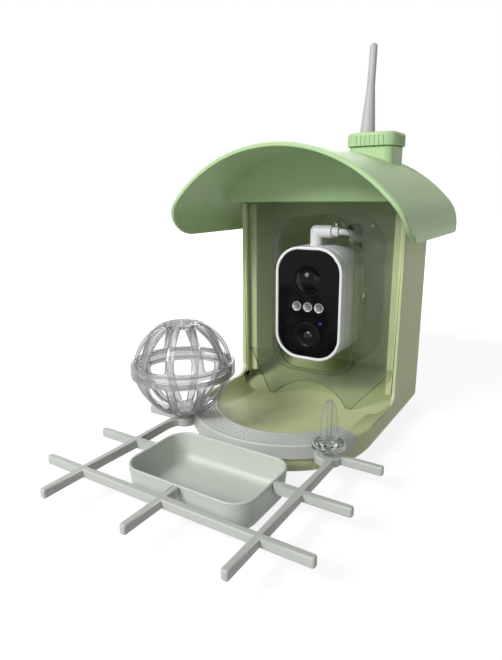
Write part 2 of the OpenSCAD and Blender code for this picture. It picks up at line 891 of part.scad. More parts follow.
module camera_front() {
  post_y = panel_y + face_t;
  color(shell_white) difference() {
    union() {
      along_y(face_y, seam_y) difference() {
        camera_outline(0);
        camera_outline(rim_white);
      }
      along_y(post_y, seam_y) difference() {
        camera_outline(rim_white / 2);
        camera_outline(rim_white + 2);
      }
      case_corners() rod_y(0, 0, post_y, seam_y, case_post_r);
    }
    case_corners() rod_y(0, 0, post_y + 1.5, seam_y + past, case_hole_r);
  }
}

// Two ribs on the back shell that hold the battery cells
module cell_cradle() {
  rib = 2;
  difference() {
    for (s = [-1, 1])
      translate([-2 * cell_r, cell_y, camera_z + s * cell_l / 3 - rib / 2])
        cube([4 * cell_r, camera_back_y - past - cell_y, rib]);
    both_sides() translate([cell_x, cell_y, 0]) cylinder(r = cell_r + lift_gap, h = far);
  }
}

module camera_back() {
  color(shell_white) difference() {
    union() {
      cell_cradle();
      difference() {
        along_y(back_y, camera_back_y) camera_outline(0);
        along_y(back_y - past, camera_back_y - shell_t) camera_outline(shell_t);
      }
      case_corners() rod_y(0, 0, back_y, camera_back_y - past, case_post_r);
      rod_y(0, camera_z, camera_back_y - stud_in, camera_back_y - past, stud_r + 2);
    }
    case_corners() {
      rod_y(0, 0, back_y - past, camera_back_y + past, case_hole_r + run_gap);
      rod_y(0, 0, camera_back_y - 2, camera_back_y + past, 2.2);
    }
    rod_y(0, camera_z, camera_back_y - stud_in - past, camera_back_y + past, stud_r + run_gap);
    translate([0, button_y, camera_low - past]) cylinder(r = button_r + run_gap, h = shell_t + 2 * past);
    translate([plug_x, plug_y, camera_high - shell_t - past])
      cylinder(r = plug_r - 1 + run_gap, h = shell_t + 2 * past);
  }
}

module case_seal() {
  color("#3c3e40") along_y(seam_y, back_y) difference() {
    camera_outline(0.5);
    camera_outline(shell_t);
  }
}

module case_screws() {
  length = camera_back_y - 2 - (panel_y + face_t + 2);
  color(steel) case_corners() translate([0, camera_back_y - 2, 0]) mirror([0, 1, 0])
    pan_screw(2, 1.4, case_hole_r - run_gap, length);
}

module camera_face() {
  color(gloss_black) difference() {
    along_y(panel_y, panel_y + face_t) camera_outline(rim_white + 0.2);
    rod_y(0, pir_z, panel_y - past, panel_y + face_t + past, pir_r + 0.1);
    rod_y(0, lens_z, panel_y - past, panel_y + face_t + past, lens_barrel_r + 0.1);
    for (i = [-1:1])
      rod_y(i * led_step, led_z, panel_y - past, panel_y + face_t + past, led_r + 0.1);
    rod_y(status_x, status_z, panel_y - past, panel_y + face_t + past, status_r + 0.05);
    for (p = ports)
      rod_y(p[0], camera_z + p[1], panel_y - past, panel_y + face_t + past, p[2] + 0.05);
  }
}

// A hollow dome on a flange that sits behind the face, turned about the lens's axis
module pir_lens() {
  skin = 1;
  color(gloss_black) translate([0, panel_y, pir_z]) rotate([90, 0, 0]) rotate_extrude() difference() {
    union() {
      intersection() {
        translate([0, pir_dome - pir_ball_r]) circle(pir_ball_r);
        square([pir_r, pir_dome + past]);
      }
      translate([0, -face_t]) square([pir_r, face_t]);
      translate([0, -face_t - skin]) square([pir_r + skin, skin]);
    }
    intersection() {
      translate([0, pir_dome - pir_ball_r]) circle(pir_ball_r - skin);
      translate([0, -face_t - skin - past]) square([pir_r - skin, far]);
    }
    translate([0, -face_t - skin - past]) square([pir_r - 2 * skin, face_t + skin + past]);
  }
}

module pir_sensor() {
  color(steel) rod_y(0, pir_z, panel_y + face_t - 1, board_y, 4.6);
}

module lens_barrel() {
  ring_y = panel_y - 1.2;
  color("#1a1b1e") difference() {
    union() {
      rod_y(0, lens_z, ring_y, panel_y, lens_ring_r);
      rod_y(0, lens_z, panel_y - 0.5, board_y, lens_barrel_r);
    }
    translate([0, ring_y, lens_z]) rotate([-90, 0, 0])
      cylinder(r1 = lens_barrel_r - 0.6, r2 = lens_glass_r, h = 2.4);
    rod_y(0, lens_z, ring_y, board_y - 2, lens_glass_r + 0.02);
  }
}

// The front of the lens is a shallow dome
module lens_glass() {
  dome_y = panel_y + 1.4;
  color("#20222a") intersection() {
    rod_y(0, lens_z, dome_y, board_y - 2.02, lens_glass_r);
    translate([0, dome_y + 8, lens_z]) sphere(8);
  }
}

module ir_leds() {
  color("#dfe2e4") for (i = [-1:1]) difference() {
    rod_y(i * led_step, led_z, panel_y + 0.3, board_y, led_r);
    translate([i * led_step, panel_y, led_z]) sphere(led_r - 0.8);
  }
}

module status_led() {
  color("#3a52d8") rod_y(status_x, status_z, panel_y + 0.2, board_y, status_r);
}

module face_ports() {
  color("#26272a") for (p = ports)
    rod_y(p[0], camera_z + p[1], panel_y + 0.4, panel_y + face_t, p[2]);
}

module camera_board() {
  color("#1f5a3c") difference() {
    along_y(board_y, board_y + board_t) camera_outline(rim_white + 3);
    case_corners() rod_y(0, 0, board_y - past, board_y + board_t + past, case_post_r + 0.5);
  }
}

module battery_cells() {
  color("#5a8f4e") both_sides()
    translate([cell_x, cell_y, camera_z - cell_l / 2]) cylinder(r = cell_r, h = cell_l);
}

module speaker() {
  color("#2b2c2e") translate([shell_t - camera_w / 2, back_y + 11, camera_z + 14])
    rotate([0, 90, 0]) cylinder(r = 9, h = 4.5);
}

module power_button() {
  color("#c9cbcc") translate([0, button_y, 0]) {
    translate([0, 0, camera_low - button_proud]) cylinder(r = button_r, h = button_proud + shell_t + 1.5);
    translate([0, 0, camera_low + shell_t + 0.1]) cylinder(r = button_r + 1.2, h = 1.4);
  }
}

// Camera fixing

module camera_bracket() {
  plate_h = bracket_step + 12;
  color(shell_white) difference() {
    union() {
      along_y(plate_y, plate_y + plate_t) translate([0, camera_z]) rounded_rect(plate_w, plate_h, 3);
      rod_y(0, camera_z, camera_back_y, plate_y + past, post_r);
    }
    rod_y(0, camera_z, camera_back_y - past, camera_back_y + stud_in, stud_r + run_gap);
    for (s = [-1, 1])
      rod_y(0, camera_z + s * bracket_step / 2, plate_y - past, plate_y + plate_t + past, bracket_hole_r);
  }
}

module camera_screw() {
  color(steel) rod_y(0, camera_z, camera_back_y - stud_in + 0.5, camera_back_y + stud_in - 0.5, stud_r);
}

module bracket_screws() {
  color(steel) for (s = [-1, 1])
    translate([0, plate_y, camera_z + s * bracket_step / 2])
      pan_screw(2.8, 1.8, bracket_hole_r - run_gap, plate_t + boss_h - 1);
}

// Antenna lead

module antenna_socket() {
  color("#c9a85c") translate([plug_x, plug_y, camera_high - shell_t - 2])
    cylinder(r = plug_r - 1, h = shell_t + 2);
}

module antenna_plug() {
  color(shell_white) {
    translate([plug_x, plug_y, camera_high]) cylinder(r = plug_r, h = plug_up);
    translate([plug_x, plug_y, plug_z]) sphere(plug_r);
    translate([plug_x, plug_y, plug_z]) rotate([0, 90, 0]) cylinder(r = plug_r, h = relief_x - plug_x);
    translate([relief_x, plug_y, plug_z]) rotate([0, 90, 0]) cylinder(r = lead_r + 1.25, h = relief_l);
  }
}

module port_cover() {
  color(shell_white) translate([4, 24, camera_high]) linear_extrude(1.4) rounded_rect(13, 9, 3);
}

// A point on a smooth curve through the lead's points: stretch i, share t
function lead_end(i) = LEAD[max(0, min(len(LEAD) - 1, i))];
function lead_slope(i) = (lead_end(i + 1) - lead_end(i - 1)) / (i == 0 || i == len(LEAD) - 1 ? 1 : 2);
function lead_point(i, t) =
  (2 * t * t * t - 3 * t * t + 1) * lead_end(i) + (t * t * t - 2 * t * t + t) * lead_slope(i)
  + (3 * t * t - 2 * t * t * t) * lead_end(i + 1) + (t * t * t - t * t) * lead_slope(i + 1);
function unit(v) = v / norm(v);

module antenna_lead() {
  line = [for (i = [0:len(LEAD) - 2], k = [0:lead_steps - 1]) lead_point(i, k / lead_steps),
    LEAD[len(LEAD) - 1]];
  last = len(line) - 1;
  way = [for (i = [0:last])
    i == 0 ? [1, 0, 0] : i == last ? [0, 0, 1] : unit(line[i + 1] - line[i - 1])];
  side = [for (i = 0, s = [0, 1, 0]; i <= last;
    i = i + 1, s = i > last ? s : unit(s - (s * way[i]) * way[i])) s];
  rings = [for (i = [0:last], k = [0:lead_sides - 1])
    let (a = 360 * k / lead_sides, over = cross(way[i], side[i]))
    line[i] + lead_r * (cos(a) * side[i] + sin(a) * over)];
  skin = [for (i = [0:last - 1], k = [0:lead_sides - 1])
    let (a = i * lead_sides + k, b = i * lead_sides + (k + 1) % lead_sides)
    each [[a, a + lead_sides, b], [b, a + lead_sides, b + lead_sides]]];
  ends = [[for (k = [0:lead_sides - 1]) k],
    [for (k = [0:lead_sides - 1]) last * lead_sides + lead_sides - 1 - k]];
  color(shell_white) polyhedron(rings, concat(skin, ends));
}

module lead_grommet() {
  color("#3c3e40") difference() {
    union() {
      rod_y(antenna_x, lead_h, rear_in - 1.6, rear_in, grommet_r + 1.6);
      rod_y(antenna_x, lead_h, rear_in - past / 2, house_rear, grommet_r);
    }
    rod_y(antenna_x, lead_h, rear_in - 3, house_rear + past, lead_r + 0.6);
  }
}

// Antenna

module antenna_mount() {
  low = mount_top - mount_h;
  color(shell_white) difference() {
    union() {
      translate([antenna_x - mount_w / 2, house_rear, low]) cube([mount_w, mount_d, mount_h]);
      translate([antenna_x - mount_w / 2 - lug_w, house_rear, lug_z - lug_w / 2])
        cube([mount_w + 2 * lug_w, lug_t, lug_w]);
    }
    translate([antenna_x - mount_w / 2 + mount_wall, house_rear - past, low + mount_wall])
      cube([mount_w - 2 * mount_wall, mount_d - mount_wall + past, mount_h - mount_wall - mount_cap]);
    for (s = [-1, 1])
      rod_y(antenna_x + s * lug_x, lug_z, house_rear - past, house_rear + lug_t + past, mount_hole_r);
    translate([antenna_x, antenna_y, low + mount_wall]) cylinder(r = stem_r + run_gap, h = mount_h);
  }
}

module antenna_mount_screws() {
  color(steel) for (s = [-1, 1])
    translate([antenna_x + s * lug_x, house_rear + lug_t, lug_z]) mirror([0, 1, 0])
      pan_screw(3, 2, mount_hole_r - run_gap, lug_t + wall + 3);
}

module antenna_swivel() {
  color("#d6d3d2") translate([antenna_x, antenna_y, 0]) difference() {
    union() {
      translate([0, 0, mount_top - mount_cap - 4]) cylinder(r = stem_r + 1.5, h = 4 - lift_gap);
      translate([0, 0, mount_top - mount_cap - 2]) cylinder(r = stem_r, h = mount_cap + 4);
      translate([0, 0, mount_top + lift_gap]) cylinder(r = collar_r, h = collar_t);
      intersection() {
        union() {
          translate([-far, -knuckle_r, mount_top + past])
            cube([2 * far, 2 * knuckle_r, fold_h - mount_top - past]);
          translate([0, 0, fold_h]) rotate([0, 90, 0]) cylinder(r = knuckle_r, h = 2 * far, center = true);
        }
        both_sides() translate([tongue_t / 2 + lift_gap, -far, mount_top])
          cube([ear_t, 2 * far, far]);
      }
    }
    translate([0, 0, fold_h]) rotate([0, 90, 0]) cylinder(r = pin_r + run_gap / 5, h = far, center = true);
  }
}

module antenna_pin() {
  length = tongue_t + 2 * lift_gap + 2 * ear_t;
  color(steel) translate([antenna_x, antenna_y, fold_h]) rotate([0, 90, 0])
    cylinder(r = pin_r, h = length, center = true);
}

module antenna_rod() {
  tip_z = antenna_top - antenna_tip_r;
  color("#d6d3d2") translate([antenna_x, antenna_y, fold_h]) rotate([-antenna_lean, 0, 0])
  translate([0, 0, -fold_h]) difference() {
    union() {
      translate([0, 0, rod_low]) cylinder(r = antenna_r, h = taper_low - rod_low);
      translate([0, 0, taper_low]) cylinder(r1 = antenna_r, r2 = taper_r, h = taper_high - taper_low);
      translate([0, 0, taper_high]) cylinder(r1 = taper_r, r2 = antenna_tip_r, h = tip_z - taper_high);
      translate([0, 0, tip_z]) sphere(antenna_tip_r);
      translate([-tongue_t / 2, 1 - knuckle_r, fold_h])
        cube([tongue_t, 2 * knuckle_r - 2, rod_low - fold_h + past]);
      translate([0, 0, fold_h]) rotate([0, 90, 0])
        cylinder(r = knuckle_r - 1, h = tongue_t, center = true);
    }
    translate([0, 0, fold_h]) rotate([0, 90, 0]) cylinder(r = pin_r + run_gap, h = far, center = true);
  }
}

// Perch

module ring_section() {
  difference() {
    union() {
      translate([ring_in, ring_low]) square([ring_out - ring_edge - ring_in, ring_t]);
      translate([apron_in, apron_low]) square([apron_t, ring_top - ring_edge - apron_low]);
      intersection() {
        translate([ring_out - ring_edge, ring_top - ring_edge]) circle(ring_edge);
        translate([ring_out - ring_edge, ring_top - ring_edge]) square(ring_edge);
      }
    }
    for (i = [0:groove_count - 1])
      translate([ring_in + 2 + i * groove_step, ring_top - 0.6]) square([groove_w, past + 0.6]);
  }
}

// A bar between two corners of its plan
module bar_plan(low, high) {
  size = high - low;
  translate((low + high) / 2) rounded_rect(size[0], size[1], bar_end_r);
}

module lattice_plan() {
  half = bar_w / 2;
  bar_plan([-bar_reach, -front_bar - half], [bar_reach, -front_bar + half]);
  bar_plan([-half, -bar_tip], [half, bar_end_r - front_bar]);
  translate([-half, -front_bar]) square([bar_w, front_bar - bowl_front - lift_gap]);
  both_sides() {
    translate([seat_x, seat_y]) circle(seat_r);
    bar_plan([bar_x - half, -bar_tip], [bar_x + half, half - back_bar]);
    bar_plan([bar_x, -middle_bar - half], [bar_reach, half - middle_bar]);
    translate([stub_x, -middle_bar - half]) square([bar_x - stub_x, bar_w]);
    bar_plan([house_r / 2, -back_bar - half], [bar_reach, half - back_bar]);
    difference() {
      translate([bar_x - half - bar_fillet, -back_bar - half - bar_fillet]) square(bar_fillet + half);
      translate([bar_x - half - bar_fillet, -back_bar - half - bar_fillet]) circle(bar_fillet);
    }
  }
}

// The three places where the bowl's lugs drop into the bars; grow widens them for the pockets
module hook_shapes(grow) {
  low = hook_low - grow;
  width = hook_w + 2 * grow;
  length = hook_l + grow;
  both_sides() translate([bowl_l / 2 - past, -middle_bar - width / 2, low])
    cube([length + past, width, hook_t + 2 * grow]);
  translate([-width / 2, -bowl_front - length, low])
    cube([width, length + past, hook_t + 2 * grow]);
}

module perch_frame() {
  color(warm_grey) difference() {
    union() {
      translate([0, tray_y, 0]) rotate([0, 0, -90 - ring_half]) rotate_extrude(angle = 2 * ring_half)
        ring_section();
      difference() {
        translate([0, 0, bar_low]) linear_extrude(bar_h) lattice_plan();
        translate([0, tray_y, bar_low - past]) cylinder(r = apron_in + apron_t / 2, h = bar_h + 2 * past);
      }
    }
    both_sides() translate([seat_x, seat_y, bar_low - past])
      cylinder(r = peg_r + run_gap, h = bar_h + 2 * past);
    hook_shapes(lift_gap);
    translate([-notch_w / 2, tray_y - ring_out - past, apron_low - past])
      cube([notch_w, apron_t + 2 * past, notch_w + past]);
  }
}

// Bowl

module bowl_shape(inset, low) {
  hull() {
    translate([0, bowl_y, bowl_rim - past / 2]) linear_extrude(past / 2)
      rounded_rect(bowl_l - 2 * inset, bowl_w - 2 * inset, bowl_r - inset, $fn = 32);
    translate([0, bowl_y, low]) linear_extrude(past / 2)
      rounded_rect(bowl_l - 2 * inset - 2 * bowl_lean, bowl_w - 2 * inset - 2 * bowl_lean,
        bowl_r - inset, $fn = 32);
  }
}

module fruit_bowl() {
  low = bowl_rim - bowl_depth;
  color(bowl_grey) difference() {
    union() {
      bowl_shape(0, low);
      hook_shapes(0);
    }
    bowl_shape(bowl_wall, low + bowl_wall);
    translate([0, 0, bowl_rim - past / 2]) linear_extrude(past)
      translate([0, bowl_y]) rounded_rect(bowl_l - 2 * bowl_wall, bowl_w - 2 * bowl_wall,
        bowl_r - bowl_wall, $fn = 32);
  }
}

// Food ball

// The upper half of the cage about its own centre
module ball_half() {
  seam = lift_gap / 2;
  intersection() {
    difference() {
      sphere(ball_r);
      sphere(ball_r - ball_t);
    }
    for (i = [0:ball_ribs / 2 - 1])
      rotate([0, 0, ball_turn + 360 * i / ball_ribs])
        translate([-far, -ball_rib / 2, seam]) cube([2 * far, ball_rib, pole_z - ball_t / 2 - seam]);
  }
  translate([0, 0, seam]) difference() {
    cylinder(r = ball_rim_r, h = ball_rim_h - seam);
    translate([0, 0, -past]) cylinder(r = ball_r - ball_t / 2, h = ball_rim_h + 2 * past);
  }
  translate([0, 0, pole_z - ball_t]) cylinder(r = ball_cap_r + ball_t / 4, h = ball_t);
}

module ball_lower() {
  color(clear_tint) translate([-seat_x, seat_y, ball_z]) mirror([0, 0, 1]) ball_half();
}

// The foot under the lower half, with the peg that stands in the bars' crossing
module ball_foot() {
  color(clear_tint) translate([-seat_x, seat_y, seat_z]) {
    cylinder(r = ball_foot_r, h = ball_foot_h);
    translate([0, 0, -peg_l]) cylinder(r = peg_r, h = peg_l + past);
  }
}

module ball_upper() {
  color(clear_tint) translate([-seat_x, seat_y, ball_z]) ball_half();
}

// Fruit spike

// The spike's outline is half an ellipse
module spike_section() {
  polygon([[0, 0], for (a = [0:10:90]) [spike_r * cos(a), spike_h * sin(a)]]);
}

module fruit_spike() {
  rim_t = spike_base_h / 2;
  color(clear_tint) translate([seat_x, seat_y, seat_z]) {
    translate([0, 0, -peg_l]) cylinder(r = peg_r, h = peg_l + past);
    cylinder(r = spike_foot_r, h = spike_foot + past);
    translate([0, 0, spike_foot]) {
      cylinder(r = spike_base_r, h = rim_t);
      translate([0, 0, rim_t]) cylinder(r1 = spike_base_r, r2 = spike_r, h = spike_base_h - rim_t);
      intersection() {
        translate([0, 0, spike_base_h]) rotate_extrude() spike_section();
        for (turn = [20, 110])
          rotate([0, 0, turn]) translate([-far, -spike_fin / 2, 0]) cube([2 * far, spike_fin, far]);
      }
    }
  }
}

house_walls();
house_base();
pole_insert();
seed_window();
camera_niche();
roof();
refill_cap();
cap_seal();
camera_front();
camera_back();
case_seal();
case_screws();
camera_face();
pir_lens();
pir_sensor();
lens_barrel();
lens_glass();
ir_leds();
status_led();
face_ports();
camera_board();
battery_cells();
speaker();
power_button();
camera_bracket();
camera_screw();
bracket_screws();
antenna_socket();
antenna_plug();
port_cover();
antenna_lead();
lead_grommet();
antenna_mount();
antenna_mount_screws();
antenna_swivel();
antenna_pin();
antenna_rod();
perch_frame();
fruit_bowl();
ball_lower();
ball_foot();
ball_upper();
fruit_spike();
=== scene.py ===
import bmesh
import bpy
import math
from mathutils import Matrix, Vector


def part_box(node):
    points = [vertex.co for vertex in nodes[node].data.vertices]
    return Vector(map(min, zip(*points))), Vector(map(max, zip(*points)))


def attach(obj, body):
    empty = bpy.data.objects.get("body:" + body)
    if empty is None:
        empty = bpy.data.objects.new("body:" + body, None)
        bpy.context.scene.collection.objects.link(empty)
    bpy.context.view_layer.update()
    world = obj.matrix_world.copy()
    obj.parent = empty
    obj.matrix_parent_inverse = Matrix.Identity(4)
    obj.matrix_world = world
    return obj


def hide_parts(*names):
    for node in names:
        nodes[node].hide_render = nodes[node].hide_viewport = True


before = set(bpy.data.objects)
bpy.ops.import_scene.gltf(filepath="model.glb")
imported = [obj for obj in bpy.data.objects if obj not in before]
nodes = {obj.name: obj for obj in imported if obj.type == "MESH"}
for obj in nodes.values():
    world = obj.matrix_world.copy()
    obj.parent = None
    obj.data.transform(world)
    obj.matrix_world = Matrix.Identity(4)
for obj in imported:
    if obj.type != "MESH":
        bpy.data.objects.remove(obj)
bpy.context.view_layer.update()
mm = 0.001


# Camera, as the photograph was taken
photoView = {"place": (0.18016, -0.385375, 0.183289), "yaw": 32.218, "pitch": -14.606, "roll": -0.463,
             "lens": 28.451, "sensor": 36, "near": 0.01}


def placeCamera(view):
    cam = bpy.data.cameras.new("photoCamera")
    cam.lens = view["lens"]
    cam.sensor_width = view["sensor"]
    cam.clip_start = view["near"]
    obj = bpy.data.objects.new("photoCamera", cam)
    obj.matrix_world = (Matrix.Translation(view["place"])
                        @ Matrix.Rotation(math.radians(view["yaw"]), 4, "Z")
                        @ Matrix.Rotation(math.radians(90 + view["pitch"]), 4, "X")
                        @ Matrix.Rotation(math.radians(view["roll"]), 4, "Z"))
    bpy.context.collection.objects.link(obj)
    bpy.context.scene.camera = obj


placeCamera(photoView)
print("camera placed")


# Materials
mixShare, mixA, mixB, mixOut = 0, 6, 7, 2   # sockets of a Mix node that mixes colours
perMetre = 1000   # pattern sizes are in millimetres
plastic = {"cloudDetail": 3.0, "grainDetail": 2.0, "glossLow": -0.05, "glossHigh": 0.07, "grainDepth": 0.1,
           "ior": 1.5, "shine": 0.4}
clear = {"hazeDetail": 3.0, "sheetGloss": 0.06, "lumpGloss": 0.05, "cloudLow": 0.8, "cloudHigh": 1.2}
metal = {"markDetail": 4.0, "glossLow": -0.08, "glossHigh": 0.12, "markDepth": 0.05, "bump": 0.15}


def linear(hexColor):
    parts = [int(hexColor[i:i + 2], 16) / 255 for i in (1, 3, 5)]
    return tuple(c / 12.92 if c < 0.04045 else ((c + 0.055) / 1.055) ** 2.4 for c in parts) + (1,)


def addNode(tree, kind, settings=None, links=None):
    node = tree.nodes.new(kind)
    for key, value in (settings or {}).items():
        if isinstance(key, str) and hasattr(node, key):
            setattr(node, key, value)
        else:
            node.inputs[key].default_value = value
    for key, source in (links or {}).items():
        tree.links.new(source, node.inputs[key])
    return node


def startMaterial(name):
    mat = bpy.data.materials.new(name)
    mat.use_nodes = True
    tree = mat.node_tree
    shader = next(n for n in tree.nodes if n.type == "BSDF_PRINCIPLED")
    return mat, tree, shader


def showSurface(tree, mix):
    out = next(n for n in tree.nodes if n.type == "OUTPUT_MATERIAL")
    tree.links.new(mix.outputs["Shader"], out.inputs["Surface"])


# Moulded plastic: a faint cloud of colour from the melt, and a spark-eroded grain that breaks the gloss
def mouldedPlastic(name, finish):
    mat, tree, shader = startMaterial(name)
    place = addNode(tree, "ShaderNodeTexCoord")
    cloud = addNode(tree, "ShaderNodeTexNoise",
                    {"Scale": perMetre / finish["cloud"], "Detail": plastic["cloudDetail"]},
                    {"Vector": place.outputs["Object"]})
    tint = addNode(tree, "ShaderNodeMix",
                   {"data_type": "RGBA", mixA: linear(finish["color"]), mixB: linear(finish["deep"])},
                   {mixShare: cloud.outputs["Fac"]})
    grain = addNode(tree, "ShaderNodeTexNoise",   # too fine to show at its real size, so drawn coarser
                    {"Scale": perMetre / finish["grain"], "Detail": plastic["grainDetail"]},
                    {"Vector": place.outputs["Object"]})
    gloss = addNode(tree, "ShaderNodeMapRange",
                    {"To Min": finish["rough"] + plastic["glossLow"],
                     "To Max": finish["rough"] + plastic["glossHigh"]},
                    {"Value": grain.outputs["Fac"]})
    bump = addNode(tree, "ShaderNodeBump",
                   {"Strength": finish["bump"], "Distance": plastic["grainDepth"] * mm},
                   {"Height": grain.outputs["Fac"]})
    tree.links.new(tint.outputs[mixOut], shader.inputs["Base Color"])
    tree.links.new(gloss.outputs["Result"], shader.inputs["Roughness"])
    tree.links.new(bump.outputs["Normal"], shader.inputs["Normal"])
    shader.inputs["IOR"].default_value = plastic["ior"]
    shader.inputs["Specular IOR Level"].default_value = finish.get("shine", plastic["shine"])
    return mat


# Clear polycarbonate sheet: tints what is behind it, mirrors a little, and shows painted shade where rim
# marks it
def clearSheet(name, finish):
    mat, tree, shader = startMaterial(name)
    tree.nodes.remove(shader)
    place = addNode(tree, "ShaderNodeTexCoord")
    haze = addNode(tree, "ShaderNodeTexNoise",
                   {"Scale": perMetre / finish["haze"], "Detail": clear["hazeDetail"]},
                   {"Vector": place.outputs["Object"]})
    rough = addNode(tree, "ShaderNodeMapRange",
                    {"To Min": finish["rough"], "To Max": finish["rough"] + clear["sheetGloss"]},
                    {"Value": haze.outputs["Fac"]})
    # painted shade: faces marked in the rim attribute are tinted towards the darker edge colour
    rim = addNode(tree, "ShaderNodeAttribute", {"attribute_name": "rim"})
    tint = addNode(tree, "ShaderNodeMix",
                   {"data_type": "RGBA", mixA: linear(finish["through"]), mixB: linear(finish["edge"])},
                   {mixShare: rim.outputs["Fac"]})
    through = addNode(tree, "ShaderNodeBsdfTransparent", None, {"Color": tint.outputs[mixOut]})
    milk = addNode(tree, "ShaderNodeBsdfDiffuse", {"Color": linear(finish["milk"])})
    cloud = addNode(tree, "ShaderNodeMapRange",
                    {"To Min": finish["cloud"] * clear["cloudLow"],
                     "To Max": finish["cloud"] * clear["cloudHigh"]},
                    {"Value": haze.outputs["Fac"]})
    body = addNode(tree, "ShaderNodeMixShader", None,
                   {0: cloud.outputs["Result"], 1: through.outputs["BSDF"], 2: milk.outputs["BSDF"]})
    mirror = addNode(tree, "ShaderNodeFresnel", {"IOR": finish["ior"]})
    share = addNode(tree, "ShaderNodeMath", {"operation": "MULTIPLY", 1: finish["mirror"]},
                    {0: mirror.outputs["Fac"]})
    gloss = addNode(tree, "ShaderNodeBsdfGlossy", None, {"Roughness": rough.outputs["Result"]})
    mix = addNode(tree, "ShaderNodeMixShader", None,
                  {0: share.outputs["Value"], 1: body.outputs["Shader"], 2: gloss.outputs["BSDF"]})
    showSurface(tree, mix)
    return mat


# Clear polycarbonate in a thick lump: bends light, and lets lamp light through to what is behind it
def clearLump(name, finish):
    mat, tree, shader = startMaterial(name)
    place = addNode(tree, "ShaderNodeTexCoord")
    haze = addNode(tree, "ShaderNodeTexNoise",
                   {"Scale": perMetre / finish["haze"], "Detail": clear["hazeDetail"]},
                   {"Vector": place.outputs["Object"]})
    rough = addNode(tree, "ShaderNodeMapRange",
                    {"To Min": finish["rough"], "To Max": finish["rough"] + clear["lumpGloss"]},
                    {"Value": haze.outputs["Fac"]})
    tree.links.new(rough.outputs["Result"], shader.inputs["Roughness"])
    shader.inputs["Base Color"].default_value = linear(finish["color"])
    shader.inputs["Transmission Weight"].default_value = 1
    shader.inputs["IOR"].default_value = finish["ior"]
    path = addNode(tree, "ShaderNodeLightPath")
    soft = addNode(tree, "ShaderNodeMath", {"operation": "MAXIMUM"},
                   {0: path.outputs["Is Shadow Ray"], 1: path.outputs["Is Diffuse Ray"]})
    through = addNode(tree, "ShaderNodeBsdfTransparent", {"Color": linear(finish["through"])})
    mix = addNode(tree, "ShaderNodeMixShader", None,
                  {0: soft.outputs["Value"], 1: shader.outputs["BSDF"], 2: through.outputs["BSDF"]})
    showSurface(tree, mix)
    return mat


# Turned or plated metal: tool marks break up the highlight
def turnedMetal(name, finish):
    mat, tree, shader = startMaterial(name)
    place = addNode(tree, "ShaderNodeTexCoord")
    marks = addNode(tree, "ShaderNodeTexNoise",   # too fine to show at their real size, so drawn coarser
                    {"Scale": perMetre / finish["marks"], "Detail": metal["markDetail"]},
                    {"Vector": place.outputs["Object"]})
    rough = addNode(tree, "ShaderNodeMapRange",
                    {"To Min": finish["rough"] + metal["glossLow"],
                     "To Max": finish["rough"] + metal["glossHigh"]},
                    {"Value": marks.outputs["Fac"]})
    bump = addNode(tree, "ShaderNodeBump",
                   {"Strength": metal["bump"], "Distance": metal["markDepth"] * mm},
                   {"Height": marks.outputs["Fac"]})
    shader.inputs["Base Color"].default_value = linear(finish["color"])
    shader.inputs["Metallic"].default_value = 1
    tree.links.new(rough.outputs["Result"], shader.inputs["Roughness"])
    tree.links.new(bump.outputs["Normal"], shader.inputs["Normal"])
    return mat


